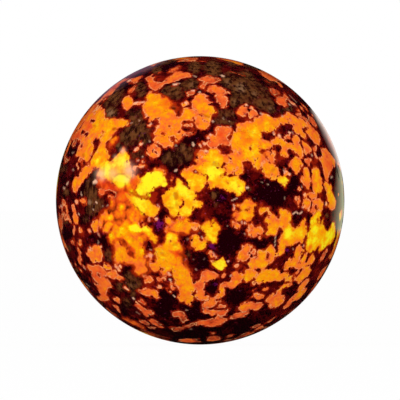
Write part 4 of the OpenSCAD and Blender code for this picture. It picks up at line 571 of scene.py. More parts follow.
# Brown seams that cross the glow without reaching black.
SEAMS: list[Streak] = streaks("""
-14.7 3.3 -14.7 2.2 .14 .5 / -14.7 2.2 -13.8 1.6 .16 .55 / -13.8 1.6 -12.6 1 .18 .7 /
-12.6 1 -11.5 .6 .2 .8 / -11.5 .6 -10.2 .5 .16 .6 / -16.9 4.7 -16 5.2 .12 .45 /
-16 5.2 -15 5.2 .12 .5 / -15 5.2 -14.1 4.4 .12 .4 / -17.3 4.2 -17.5 3.3 .1 .4 /
-18.9 6.6 -19 5 .12 .3 / -18.2 8 -17.2 7.7 .14 .4 / -17.5 4.5 -17.2 3.4 .1 .3 /
-4.8 1.2 -4.7 .6 .38 .55 / -4.7 -.4 -4.6 -.9 .2 .3 / 2.8 7.2 3.4 7 .4 .4 /
-5.2 -8.7 -4.7 -8.6 .2 .35 / -7.6 -10.4 -7.2 -10.6 .25 .3 / 14.2 5.9 14.4 6 .3 .35 /
-23 9 -23 8.8 .2 .5 / -20.9 14.7 -20.7 14.6 .15 .4 / -17.1 14 -16.8 14.1 .22 .8 /
-13.3 -7.6 -13.2 -7.9 .2 .3 / 6.3 -4.6 6.6 -4.8 .15 .3 / -6.4 -1.4 -5.4 -1.5 .15 .4 /
.9 -3.4 .7 -3.5 .1 .3 / 16.8 -12.7 16.3 -13.9 .12 .5 / -.8 15.1 -.4 15 .15 .5 /
8.5 -11.9 8.9 -11.3 .12 .4 / .2 16.9 1.6 16.4 .2 .55
""")

# Places where the glow is hotter than the rest of its grain: the amount is the heat there.
# Those round the lamp window's reflection at the left are a painted pool of light.
HOT_SPOTS_AND_LAMP_POOL: list[Blob] = blobs("""
17.3 -6.6 1 1 / 19.6 -6.4 .9 .85 / 22.6 -5.8 1.6 .85 / 22.8 -7.5 1 .85 / 25.8 -6.6 1.2 .95 /
2 -6.8 1.2 .8 / 9 -2.7 1.4 .66 / 14 -5.5 1.2 .62 / 12.5 -15 1.2 .62 / 9.5 -15.3 1 .55 /
12 -12.5 1.2 .6 / -9.4 3.6 2.6 1.1 / -11.4 -1 1.6 1 / -3.3 2.4 1.3 1 / -5.3 -.3 .7 .9 /
-6.6 .5 .9 .58 / -1.8 3.5 .8 .88 / -1.6 6.4 .9 .45 / 2.8 5.6 1.3 1 / 6.8 3.2 1 .9 /
7.6 1.8 .8 .85 / 1.8 3.2 .6 .5 / 3.4 8 .8 .8 / 12.5 14.6 1.6 .64 / 10.2 9.5 1.4 .72 /
8.5 11.2 1 .6 / 10.5 13.5 1 .62 / -15.7 4 1.2 1.1 / -13.3 -5.4 .7 1 / -10.6 -5.7 .7 .95 /
-5.7 -7.2 .7 .92 / -5 -9 .8 .85 / -7.2 -10.4 1.4 .6 / -9 .5 .5 .7 / -17.7 -3.4 .5 1 /
-14.6 -4.4 .6 .85 / -2.9 -2.4 .8 .82 / -4.8 -2.3 .6 .8 / -6.4 -4 .5 .72 / -19.3 8.5 1.3 .6 /
-20.3 7.4 .7 .78 / -18.2 6.7 .8 1.05 / -18.7 5.4 .5 1 / -15.6 7.6 1.2 .95 / 16.4 4.1 .8 .85 /
23.2 4.4 1 .62 / 25.9 .3 1 .62 / -9.2 18.8 1.5 .58 / -18.3 14.2 1.6 .64 / .6 18.3 1.2 .55 /
2.2 5 .7 1.05 / -8.8 -2.6 .7 .75 / -16.6 -10.6 1 .6 / -12.5 -12.9 1 .42 / -4 -14.4 1 .56 /
-2.3 -.9 .5 .6 / .3 -.7 .7 .66 / 9 -.6 .6 .6
""")

# Places where the glow turns to red.
EMBERS: list[Blob] = blobs("""
20.3 -5.2 .6 .35 / 18.3 -6 .5 .25 / 21.8 -9.3 .5 .35 / 9.6 -3.6 .7 .45 / 7 -2.8 .6 .3 /
1.5 -24.3 1 .3 / 4.5 -22 .7 .4 / 7.5 -15.3 .6 .4 / -4.6 -10.5 .7 .7 / -15 1 1.4 .6 /
-17.6 2.6 1.5 .75 / -19 3.4 .9 .75 / -16.2 -.4 1 .45 / -12.8 3.7 .8 .7 / -13.4 -9.6 .6 .6 /
-6.8 19.2 1 .6 / -7.2 13.1 .7 .4 / 9.3 12 .9 .4 / 8.6 13.4 .7 .35 / 4 12.9 .7 .7 /
2 10.9 .9 .4 / -9.7 23 .8 .4 / -22 14.8 .8 .5 / -24.6 12.8 1 .3 / -20 -14.8 1.6 .3 /
-19 -18.5 1 .3 / -3.4 -18.6 .9 .3 / -4 -17 .7 .25 / -12.8 -20.6 .8 .4 / -11.5 -19.9 .6 .5 /
25.5 7 .8 .4 / 22.5 12.8 .8 .2 / 16 19.6 .7 .3 / 3 21.9 .7 .2 / -3 -3.6 .8 .3 /
-.7 -16.8 .5 .3 / 17.1 -9.6 .5 .6 / -14.8 -2.6 .5 .2 / -17.8 10.9 .4 .6 / 5 8.8 .5 .5 /
-20.6 10.8 .4 .6 / -9.2 -16.8 .7 .3
""")

# Feldspar that fades into the ground: amounts over 0.9 turn to tan.
BROWN_STAINS: list[Blob] = blobs("""
-17.6 17.3 1.3 1.6 / -17 20.4 1.8 1 / -12.8 14 2.4 1 / -11 12.4 1.6 .9 / -14.4 12.4 1.6 1.1 /
-12.4 9 1.8 .6 / -13.6 17.2 1.3 .6 / -12 22.3 1.1 1 / -5 21.6 1.5 .9 / -1.6 22.8 1.3 1.2 /
-8.6 25.8 1.1 1 / -1 26.3 1.5 .9 / 2.5 26.2 2 1 / 5.4 23.2 1.5 1.3 / 8 22.1 1.9 1.6 /
6.8 19.4 1.1 1.3 / 10.6 21 1.3 1.3 / 9 24.6 1.6 .9 / 12.2 19 1.3 1.1 / 13.9 18 .9 1.4 /
5 16.8 1.6 .7 / -21.4 1.4 1.7 .9 / -20.6 -1 1.3 .9 / -21.8 -.4 .8 2 / -18.4 -10.8 1.1 .6 /
-13.4 -16.7 1.5 1.2 / -15.4 -17 1.3 .9 / -14.3 -14.8 .9 1 / -14.4 -20 1.6 .6 / -4 9.4 1.9 .7 /
-3.4 10.3 .9 1.1 / 2.7 1.1 .9 .9 / 3.2 -.8 1 .6 / -2.6 -10.5 1 .7 / 17.6 18.2 .8 1.1 /
16.2 17.6 .5 1.4 / 14 24 1.5 .8 / -26.4 1.6 .8 1 / -26.5 -4.2 .7 .8 / -26 -9.6 .7 1 /
-27.2 6.4 1 .9 / -24.5 -13.8 .6 1 / -19.5 -20.3 .5 1.2 / 25 -3 .5 .8 / 9.6 2.2 .5 .8 /
-23 5.5 .6 .5 / -22.4 -3.6 1 .6 / -16 10.6 .8 1.2 / -19.8 0 .7 .6 / -7.2 21.3 .6 1.2 /
18.9 13 .6 .9 / -13.2 -18.6 .6 .9 / 11.3 -12.2 .7 .3
""")

# Above 0 the ground turns to red: painted light, the glow that spills from the grains into it.
# Below 0 it goes black, and the dark ones along the rim are painted shade.
GROUND_TONES_GLOW_AND_SHADE: list[Blob] = blobs("""
-14.2 -2.3 .8 .7 / -13.5 -3 .8 .6 / -9.5 -16.6 1.1 .6 / -6.6 -16.4 .7 .6 / -9.2 .5 .9 .9 /
-8.9 1.3 .6 .7 / -7.3 1.9 .8 .5 / .4 .9 .8 .5 / .8 -2.6 1.1 .5 / .6 -6.6 .6 .4 /
11.2 -2.3 .7 .5 / 12.4 -1 1 .5 / 12.5 -5 .7 .4 / 14.8 -12.5 .8 .4 / 8.2 -13 .8 .3 /
9.3 6.9 1 .6 / 8.7 .6 .8 .6 / 5.2 9.8 .9 .5 / 6.4 11.7 .7 .7 / -8.7 15.5 .7 .8 /
-9.4 12.6 .9 .5 / -8 11 .8 .5 / 9 15.9 1.2 .7 / 3.4 16.6 1 .4 / -4.7 19 .9 .5 /
-8 24 .9 .5 / -13.4 21.3 .8 .6 / -23 12 .9 .5 / -20.6 11 .6 .4 / -17.3 9.6 .7 .5 /
-16.6 11 .9 .5 / -16.6 12.9 .9 .5 / -6.6 4.8 .8 .5 / -5.5 3.1 .8 .3 / -12.8 7.6 1.2 .4 /
-19.2 -5.8 .6 .5 / -23.2 -6.6 1.2 .5 / -20 -12.6 .9 .5 / -17.3 -15.8 .6 .5 / -11 -16.6 1 .5 /
-18 -20.6 1 .5 / -11.5 -14 .7 .5 / -7 -6.5 .6 .3 / -3.9 -7 .5 .3 / -8.7 -8 1 .3 /
-9.8 -11.9 .6 .5 / -7 -14.6 .6 .5 / -1 -14.9 .8 .5 / 0 -8 .5 .2 / 16 7.8 .9 .5 /
22.5 7.8 .9 .6 / 21.8 6.5 .5 .5 / 23.6 .9 .8 .6 / 24.4 4 .4 .5 / 20.2 .2 1 .4 /
20.6 -3.5 1 .3 / 13 9.4 .6 .6 / 19.6 14.8 .5 .3 / 17.3 14.6 .8 .2 / 16.6 8.6 .6 .4 /
18.2 7.4 .6 .5 / 23.2 -10.5 1 .4 / 26 -11 1 .4 / 23 -14 .8 .3 / 9.4 -17.9 .8 .3 /
14.5 -17.8 .9 .3 / 16.7 -22 1.1 .3 / -27.4 -7 1 -.5 / 3.6 .6 1.1 -.3 / 4.6 .2 .7 -.4 /
5.8 -8.2 2.4 -.5 / .5 -12 1.4 -.6 / 14.2 1.8 2.8 -.6 / 18.2 4 1.2 -.5 / 16.5 6.6 1.2 -.3 /
19 -3.8 1.2 -.3 / 12 -8 1.3 -.4 / 2.6 -17 1.1 -.5 / 7.2 -18.8 2 -.5 / 4 -20.6 .8 -.4 /
-7 -21 1.8 -.7 / 0 -21.8 1.8 -.7 / 0 -27 5 -.5 / 9 -24.6 2.4 -.5 / -5.2 8 1.5 -.4 /
-1.5 12.2 1.6 -.5 / -7 9.3 1 -.3 / 8.5 4.9 1 -.3 / 17 17 .8 -.3 / 12 26 2 -.3 /
-21.8 3.6 1.3 -.5 / -23 3 1 -.4 / -23 -3.8 1.2 -.3 / -19 -8 1.2 -.3 / -21.5 -7.6 1.4 -.2 /
-25.6 9.8 1 -.6 / -26.2 -6.8 .9 -.6 / -23.5 -16.6 1.5 -.6 / -15.4 -21.6 1.2 -.5 /
-14.7 -13.4 1 -.3 / -10 -8.8 .9 -.3 / -8 -18.6 1.6 -.5 / 20.4 19 1.3 -.6 / 15 18.8 .6 -.4 /
24.3 9.2 .9 -.4 / 26 4 .8 -.4 / 9.8 .4 .8 -.4 / 21.6 -3.4 .7 -.2 / -15.6 23 1.4 -.5 /
-6 27 1.6 -.4 / 24 -16 1 -.3 / 22.6 11.6 .5 -.2 / 18.6 8.7 .5 -.3
""")

# Pale chips and hairlines of white feldspar, too small to be grains, with painted glints of the
# lamp among them. They glow as the grains do.
PALE_MARKS_AND_GLINTS: list[Streak] = streaks("""
-2.9 19.2 -2.6 19 .16 .7 / -1.6 21.6 -1.2 21.6 .16 .7 / -5.3 22.8 -4.7 22.9 .16 .8 /
-4.3 23.1 -4.1 23.1 .1 .6 / -12.8 19.1 -12.4 19.3 .18 .7 / -12 19.3 -11 19.4 .1 .5 /
-11.8 11 -11.5 11.1 .22 .6 / -12.8 9.9 -12.4 10.2 .18 .6 / -11.9 6.6 -11.1 6.7 .12 .5 /
-12.9 6.3 -12.8 6.4 .22 .5 / -12.3 7.8 -12.1 7.8 .16 .5 / -11.2 7.6 -11.1 7.6 .12 .5 /
-11.4 8.5 -11.3 8.5 .14 .6 / -10 11.6 -10 11.5 .13 .6 / -9.9 14.9 -9.7 15 .16 .6 /
-5 5.7 -4.6 6 .16 .7 / -.9 5.7 -.9 5.6 .16 .6 / -1.4 11.2 -1.3 10.8 .2 .7 /
.6 11.1 1 11 .18 .7 / 0 10.8 .2 10.6 .12 .6 / 1.2 9.8 1.5 9.4 .12 .5 / 2 12.9 2.1 12.8 .18 .6 /
1.5 12.3 1.6 12.2 .16 .6 / 6 14.6 6 14.5 .1 .5 / 3.9 14.5 4.2 14.5 .12 .4 /
2.4 15.6 2.5 15.5 .18 .5 / 9 18.7 9.2 18.8 .15 .5 / 10.1 18.4 10.1 18.1 .12 .5 /
4.3 24.6 4.5 24.5 .22 .7 / 12 17.1 12.2 17 .18 .5 / 13.2 16.8 13.4 16.7 .15 .5 /
16.1 16.7 16.2 16.6 .12 .6 / 17.5 13.4 17.7 13.3 .16 .6 / 18.1 13.4 18.4 13.1 .08 .5 /
15.4 12.9 15.7 12.7 .16 .8 / 14.5 13.4 14.5 12.9 .14 .5 / 9.1 2.5 9.4 2.5 .2 .9 /
13.3 3.2 13.3 3.1 .12 .6 / 12.1 3.6 12.2 3.5 .1 .3 / 16.6 .5 16.6 .3 .14 .3 /
16.9 5.6 17.6 5.1 .12 .9 / 16.5 5.9 16.6 5.4 .16 .6 / 16.8 6.2 16.8 6.1 .1 .4 /
20.5 1.2 20.7 1 .2 .5 / 20 2.8 20 2.6 .12 .5 / 20.1 -1.3 20.3 -1.4 .1 .6 /
22 9 22.1 8.8 .14 .5 / 22.8 9 22.9 8.7 .1 .5 / 26 4.6 25.9 4.5 .16 .6 / 24.7 -.9 24.9 -.5 .1 .6 /
6.2 0 7.2 .4 .1 .6 / 14.8 -7 14.7 -9 .08 .6 / 18.2 -2.6 18.7 -2.3 .12 .8 /
18.7 -2.3 19.3 -2.5 .12 .8 / 19.6 -2.6 20 -2.2 .12 .8 / 6.6 -.8 6.7 -1.6 .14 .7 /
8.2 -4.4 8.2 -4.3 .14 .7 / 8.8 -4.5 8.8 -4.4 .14 .7 / 5.4 -5 5.4 -5 .12 .3 /
8.7 -6.6 8.9 -6.6 .1 .5 / 5.4 -11.9 5.5 -12 .16 .7 / -.8 -13.5 -.8 -13.6 .16 .4 /
6 -14.8 6.1 -14.7 .16 .7 / 7 -12.8 7.5 -12.6 .16 .4 / 20.4 -9 20.4 -8.9 .14 .5 /
18.3 -9.6 18.3 -9.5 .1 .4 / 2.5 -10.3 3.1 -11.2 .14 .4 / .4 -7.4 .4 -7.2 .14 .5 /
-.3 -6.5 -.2 -6.5 .1 .4 / -8.6 -3.6 -8.5 -3.6 .18 .5 / -10 -3.4 -10 -4 .1 .4 /
-8.3 -.9 -8 -1.3 .1 .5 / -9.8 -9.7 -9.6 -9.7 .18 .3 / -9.9 -10.8 -9.6 -10.9 .3 .4 /
-11 -11.1 -10.5 -11 .1 .4 / -6.2 -14.2 -6 -14.6 .14 .8 / -5.9 -15.6 -5.8 -15.8 .18 .9 /
-5.2 -18.7 -4.9 -19 .12 .9 / -2.7 -21.6 -2.6 -21.6 .12 .5 / -1.9 -25.4 -1.8 -25.4 .14 .4 /
-13.3 -19.2 -13 -19.4 .16 .8 / -12.6 -22 -12 -22.4 .1 .3 / -14.9 -17.1 -14.2 -17.6 .14 .5 /
-8.1 -17 -7.9 -17 .28 .4 / -20.9 3.5 -20.6 3.9 .28 .9 / -20.6 3.5 -20.4 3.5 .2 .8 /
-26.3 3.2 -26.1 3.5 .16 .7 / -27 2.5 -26.8 2.4 .16 .6 / -25.1 6.1 -25 6 .14 .4 /
-25.2 9.4 -25 9.4 .14 .3 / -23.5 1.5 -23.3 1 .1 .6 / -20.5 -.4 -20.3 -.5 .14 .8 /
-21.2 -1.8 -21 -1.8 .1 .6 / -18.4 -1 -18.2 -1 .1 .4 / -19.2 -1.1 -19.2 -1.3 .1 .3 /
-24 -2.6 -23.9 -2.8 .14 .6 / -24.5 -.3 -24.3 -.4 .2 .4 / -27.5 -1.2 -27.2 -1.2 .12 .7 /
-21.8 -5.9 -21.7 -6.1 .2 .4 / -20.1 -6.5 -19.8 -7 .1 .4 / -19.5 -9 -19.5 -9.3 .12 .6 /
-21.8 -9.2 -21.6 -9.4 .1 .5 / -22 -9.8 -21.9 -9.7 .12 .4 / -23 -13.1 -22.7 -13.6 .1 .4 /
-18 -9.5 -18 -9.4 .1 .4 / -20 -8 -20.1 -8.6 .12 .3 / -16.8 -12.9 -16.3 -13.2 .16 .4 /
-16.1 -13.7 -15.8 -13.8 .1 .6 / -15.8 -12.9 -15.6 -13.1 .08 .5 / -22.6 -16.4 -21.9 -17 .08 .3 /
-14.2 23.6 -13.9 23.7 .16 .7 / -10.7 16.9 -10.5 16.5 .12 .4 / -12 15.7 -12 15.6 .14 .4 /
-13.7 15.2 -13.4 15.3 .1 .3 / -4.8 10.8 -4.6 10.7 .2 .25 / 17.8 18.8 17.5 19 .12 .4 /
17.4 20 18.2 19 .07 .4 / 18.2 19 19 18.6 .07 .4 / 17.6 20.8 19 19.4 .06 .3 /
4.5 16.2 4.6 16 .16 .25 / 5.7 15.6 5.7 15.5 .14 .3 / -1.3 24.6 -.7 24.3 .1 .5 /
-.2 21.3 0 21.3 .14 .7 / 10.6 .4 10.8 .3 .1 .1 / -2.7 -11.6 -2.7 -11.6 .14 .2 /
.8 -11.5 .8 -11.5 .14 .2 / -1.4 -11.6 -1.4 -11.6 .12 .2 / -2.5 -7.5 -2.4 -7.7 .14 .25
""")

# The violet flecks: their violet is a painted reflection of lamp light on their crystal faces.
VIOLET_FLECKS_AND_REFLECTION: list[Blob] = blobs("""
-8 -4.7 .9 1 / 2.3 -9 .6 .9 / 2.9 -16.6 .5 .6 / 4.4 .5 .6 .55 / 17.1 -9.7 .4 1
""")

# Painted highlight: peach-white patches of lamp light round the lamp window's reflection at the
# left.
LAMP_HIGHLIGHT_PATCHES: list[Blob] = blobs("""
-13.8 5.9 1 .75 / -13.4 5 .6 .6 / -14.2 7 .7 .5 / -19.6 5.2 .9 .7 / -19.3 4.4 .6 .5 /
-17.2 5.3 .9 .35 / -15.2 9.8 .5 .6 / -16.7 8.6 .4 .3 / -14.3 4.1 .6 .3
""")

# What the polish mirrors: a window, two pale cards at the right and a dim one at the left.
REFLECTIONS: tuple[Reflection, ...] = (
    Reflection("lamp_window", (
        (-15.2, 10.3, 0.05), (-15.5, 8.6, 0.8), (-15.9, 7.2, 1.7), (-16.3, 5.7, 2.6),
        (-16.5, 4.6, 2.6), (-16.6, 3.8, 1.8)), 0.7, "#fff2ea", (1.0, 1.0, 1.0), False),
    Reflection("pale_card_right", (
        (27.0, 7.0, 0.3), (27.3, 5.0, 0.7), (27.3, 2.5, 1.0), (27.2, 0.0, 1.2),
        (27.0, -2.0, 1.4), (26.8, -4.0, 1.3), (26.9, -5.6, 1.0), (27.1, -7.0, 0.5)),
        1.5, "#c4c8a4"),
    Reflection("pale_card_upper_right", (
        (21.6, 18.2, 0.3), (23.2, 15.9, 0.5), (24.7, 13.2, 0.8), (25.8, 10.9, 0.8),
        (26.7, 8.6, 0.7), (27.4, 6.2, 0.5), (27.8, 4.0, 0.3)),
        1.4, "#f4dcd0"),
    Reflection("dim_card_left", (
        (-21.0, 18.6, 0.3), (-18.6, 20.7, 0.8), (-15.9, 22.8, 1.1), (-12.9, 24.6, 1.0),
        (-9.6, 26.2, 0.7), (-6.0, 27.4, 0.3)),
        0.45, "#b090b0"),
)


@dataclass(frozen=True)
class Finish:
    """How one mineral takes the polish: its face, and how deep the polish leaves its pits."""

    name: str
    roughness: float
    ior: float
    pit_depth_mm: float


FINISHES: dict[Mineral, Finish] = {
    # Fine dark aegirine-rich mass: takes the deepest polish, almost black with a maroon depth.
    Mineral.GROUND: Finish("polished_dark_syenite", 0.03, 1.54, 0.004),
    # Sodalite-bearing grains: waxy polish, their orange seems lit from inside.
    Mineral.ORANGE: Finish("polished_orange_sodalite", 0.035, 1.49, 0.006),
    # The hottest grains: lemon to golden, hardly any texture left in the glow.
    Mineral.YELLOW: Finish("polished_yellow_sodalite", 0.035, 1.49, 0.005),
    # The one pale chip: cleaner still, the yellow of a lemon's flesh.
    Mineral.PALE_YELLOW: Finish("polished_pale_sodalite", 0.035, 1.49, 0.004),
    # Feldspar laths: cleavage streaks in olive and tan, a shade duller than the rest.
    Mineral.FELDSPAR: Finish("polished_brown_feldspar", 0.045, 1.53, 0.008),
    # Violet flecks: small and deep; their cold violet beside the glow is a painted reflection
    # of lamp light on their faces.
    Mineral.VIOLET: Finish("polished_violet_fleck", 0.03, 1.52, 0.004),
}

# What each heat looks like, from a dull ember to lemon yellow.
HEAT_RAMP: tuple[tuple[float, str], ...] = (
    (-0.20, "#5c1c10"),
    (0.00, "#b44020"),
    (0.15, "#e85a2a"),
    (0.30, "#fa702e"),
    (0.42, "#fd831c"),
    (0.52, "#fe950e"),
    (0.64, "#ffa80a"),
    (0.76, "#fdc010"),
    (0.88, "#fedc22"),
    (1.00, "#fff024"),
)


def linear(code: str) -> tuple[float, float, float, float]:
    """Turns an sRGB colour into a linear one.

    Args:
        code: The colour as #rrggbb.

    Returns:
        Linear red, green and blue, and an alpha of 1. Each channel c up to 0.04045 is c / 12.92,
        and above it ((c + 0.055) / 1.055) ** 2.4.
    """
    channels = [int(code[i:i + 2], 16) / 255 for i in (1, 3, 5)]
    flat = [c / 12.92 if c <= 0.04045 else ((c + 0.055) / 1.055) ** 2.4 for c in channels]
    return (flat[0], flat[1], flat[2], 1.0)


def unit(vectors: Array) -> Array:
    """Each row divided by its own length."""
    return vectors / np.linalg.norm(vectors, axis=-1, keepdims=True)


def eased(value: Array, low: float, high: float) -> Array:
    """3 t^2 - 2 t^3 of the share t of the way from low to high, held between 0 and 1."""
    t = np.clip((value - low) / (high - low), 0.0, 1.0)
    return t * t * (3 - 2 * t)


@dataclass(frozen=True)
class Contour:
    """A grain's outline laid on the ball: a closed line in the plane that touches at its middle.

    middle is on the ball. across and upward span the plane, and corners are lengths along them.
    """

    middle: Array
    across: Array
    upward: Array
    corners: Array
    owner: int
    heat: float
    soft: float

    @property
    def reach(self) -> float:
        """The furthest corner's distance from the middle."""
        return float(np.linalg.norm(self.corners, axis=1).max())

    def signed_distance(self, points: Array) -> Array:
        """How far points lie inside the outline, negative outside.

        Args:
            points: Positions near the contour, one row each.

        Returns:
            The distance to the nearest side, found by dropping each point on every side and
            holding the foot between its ends. The sign comes from counting the sides that a
            ray to the right of the point crosses: odd is inside.
        """
        away = points - self.middle
        x, y = away @ self.across, away @ self.upward
        a, b = self.corners, np.roll(self.corners, -1, axis=0)
        side = b - a
        dx, dy = x[:, None] - a[:, 0], y[:, None] - a[:, 1]
        share = (dx * side[:, 0] + dy * side[:, 1]) / (side**2).sum(1)
        share = np.clip(share, 0, 1)
        near = np.hypot(dx - share * side[:, 0], dy - share * side[:, 1]).min(1)
        spans = (a[:, 1] > y[:, None]) != (b[:, 1] > y[:, None])
        rise = np.where(np.abs(side[:, 1]) < TINY, TINY, side[:, 1])
        left_of = dx < side[:, 0] * dy / rise
        inside = (spans & left_of).sum(1) % 2 == 1
        return np.where(inside, near, -near)


def rounded(corners: Array, cut: float = 0.15) -> Array:
    """Cuts each corner of a closed line, so that a drawn outline turns like a worn grain.

    Args:
        corners: The line's corners, one row each.
        cut: The share of each side that the cut takes from its ends.

    Returns:
        The new corners, two for each old one.
    """
    ahead = np.roll(corners, -1, axis=0)
    first, second = corners + (ahead - corners) * cut, ahead + (corners - ahead) * cut
    return np.stack([first, second], axis=1).reshape(-1, corners.shape[1])


def lifted(line: Array, radius: float) -> Array:
    """Moves points on the front disc straight back to the ball: y = -sqrt(r^2 - x^2 - z^2).

    Args:
        line: Positions [right, up], one row each. What lies outside the disc is first drawn in
            to the share rim_share of its radius.
        radius: The ball's radius.

    Returns:
        Their places on the ball.
    """
    rim_share = 0.9985
    reach = np.hypot(line[:, 0], line[:, 1])
    held = np.minimum(1.0, rim_share * radius / np.maximum(reach, TINY))
    x, z = line[:, 0] * held, line[:, 1] * held
    return np.stack([x, -np.sqrt(radius**2 - x**2 - z**2), z], axis=1)


def contour_of(ring: Array, owner: int, heat: float, soft: float, radius: float) -> Contour:
    """Lays a closed ring of points on the ball out as a contour.

    Args:
        ring: Positions on the ball, in order.
        owner: The number of the sub-part that the grain belongs to.
        heat: The grain's heat.
        soft: The grain's softness.
        radius: The ball's radius.

    Returns:
        The contour about the ring's mean direction.
    """
    middle = unit(ring.mean(axis=0)) * radius
    aside = np.cross([0.0, 0.0, 1.0], middle)
    polar = np.linalg.norm(aside) < TINY * radius
    across = np.array([1.0, 0.0, 0.0]) if polar else unit(aside)
    upward = unit(np.cross(middle, across))
    away = ring - middle
    corners = np.stack([away @ across, away @ upward], axis=1)
    return Contour(middle, across, upward, corners, owner, heat, soft)


@dataclass
class FarSide:
    """The grains that nobody drew: angular ones spread evenly over the ball's far side.

    The places follow a spiral of equal areas and golden turns. Each outline is a ragged ring.
    All lengths are millimetres.
    """

    radius: float
    place_count: int = 190
    size_min: float = 1.5
    size_max: float = 2.7
    corner_count: int = 9
    pattern: int = 7
    starts_behind: float = -3.0
    bare_strip_degrees: float = -9.0
    bare_half_width: float = 3.2
    golden_turn: float = 137.50776
    narrowest: float = 0.6
    shallowest: float = 0.62
    feldspar_every: int = 9
    feldspar_first: int = 4
    yellow_every: int = 7
    yellow_first: int = 2
    least_soft: float = 0.08
    added_soft: float = 0.5
    least_yellow_heat: float = 0.75
    added_yellow_heat: float = 0.25
    least_orange_heat: float = 0.2
    added_orange_heat: float = 0.5

    def chance(self, place: Array, use: Array | int) -> Array:
        """The fraction of 43758.5453 sin(12.9898 place + 78.233 use + pattern), in degrees."""
        angle = np.radians(12.9898 * place + 78.233 * use + self.pattern)
        return (43758.5453 * np.sin(angle)) % 1.0

    def places(self) -> tuple[Array, Array]:
        """Finds the places that hold a grain.

        Place k of n lies at the height 1 - (2 k + 1) / n and k golden turns round. Those in front
        of starts_behind and those in the bare strip stay empty.

        Returns:
            The numbers of the places used, and their positions.
        """
        number = np.arange(self.place_count)
        height = 1 - (2 * number + 1) / self.place_count
        turn = np.radians(self.golden_turn * number)
        girth = np.sqrt(1 - height**2)
        spot = np.stack([girth * np.cos(turn), girth * np.sin(turn), height], axis=1)
        spot = spot * self.radius
        seam = math.radians(self.bare_strip_degrees)
        along = spot @ np.array([math.cos(seam), math.sin(seam), 0.0])
        aside = spot @ np.array([-math.sin(seam), math.cos(seam), 0.0])
        bare = (np.abs(aside) < self.bare_half_width) & (along > -self.bare_half_width)
        used = (spot[:, 1] > self.starts_behind) & ~bare
        return number[used], spot[used]

    def ring(self, number: int, spot: Array) -> Array:
        """One grain's ragged outline.

        Args:
            number: The grain's place number.
            spot: Its middle on the ball.

        Returns:
            Its corners on the ball. Corner k lies at 360 k / n degrees and at a random share of
            the grain's size, narrowed and then turned at random.
        """
        k = np.arange(self.corner_count)
        size = self.size_min + (self.size_max - self.size_min) * self.chance(number, 1)
        turn = 2 * math.pi * self.chance(number, 2)
        narrow = self.narrowest + (1 - self.narrowest) * self.chance(number, 3)
        angle = 2 * math.pi * k / self.corner_count
        reach = size * (self.shallowest + (1 - self.shallowest) * self.chance(number, 4 + k))
        u, v = reach * np.cos(angle), reach * np.sin(angle) * narrow
        s, t = u * np.cos(turn) - v * np.sin(turn), u * np.sin(turn) + v * np.cos(turn)
        lon, lat = math.atan2(spot[1], spot[0]), math.asin(spot[2] / self.radius)
        south = np.array([math.sin(lat) * math.cos(lon), math.sin(lat) * math.sin(lon),
                          -math.cos(lat)])
        east = np.array([-math.sin(lon), math.cos(lon), 0.0])
        corners = spot + s[:, None] * south + t[:, None] * east
        return unit(corners) * self.radius

    def grains(self) -> list[tuple[str, Array, float, float]]:
        """Works out every far grain.

        Every ninth place holds feldspar, and every seventh of the others a yellow grain.
        Chance adds up to added_* to the least heat, and its square to the least softness.

        Returns:
            For each grain its sub-part's name, its ring, its heat and its softness.
        """
        found = []
        for number, spot in zip(*self.places(), strict=True):
            ring = self.ring(int(number), spot)
            warmth = float(self.chance(number, 20))
            soft = self.least_soft + self.added_soft * float(self.chance(number, 21)) ** 2
            yellow_heat = self.least_yellow_heat + self.added_yellow_heat * warmth
            orange_heat = self.least_orange_heat + self.added_orange_heat * warmth
            if number % self.feldspar_every == self.feldspar_first:
                found.append(("brown_feldspar_back", ring, 0.0, soft))
            elif number % self.yellow_every == self.yellow_first:
                found.append(("yellow_grains_back", ring, yellow_heat, soft))
            else:
                half = "upper" if spot[2] >= 0 else "lower"
                found.append((f"orange_grains_back_{half}", ring, orange_heat, soft))
        return found


@dataclass
class Waves:
    """A cloudy field over the whole ball, the sum of flat waves that run all ways through it.

    Wavelengths go from shortest to longest in equal ratios. A wave's height grows with its
    length to the power growth, and the heights are scaled so that the field's spread is 1.
    """

    seed: int
    shortest: float
    longest: float
    count: int = 40
    growth: float = 0.8

    def __post_init__(self) -> None:
        """Draws the waves' directions and phases."""
        rng = np.random.default_rng(self.seed)
        length = np.geomspace(self.shortest, self.longest, self.count)
        height = length**self.growth
        self._height = height / math.sqrt(float((height**2).sum()) / 2)
        self._wave = unit(rng.normal(size=(self.count, 3))) * (2 * math.pi / length)[:, None]
        self._phase = rng.uniform(0, 2 * math.pi, self.count)

    def at(self, points: Array) -> Array:
        """The sum of height times sin(wave . point + phase)."""
        return np.sin(points @ self._wave.T + self._phase) @ self._height

    @property
    def slope(self) -> float:
        """The field's usual steepness along the face, per millimetre."""
        steep = self._height * np.linalg.norm(self._wave, axis=1)
        return math.sqrt(float((steep**2).sum()) / 3)


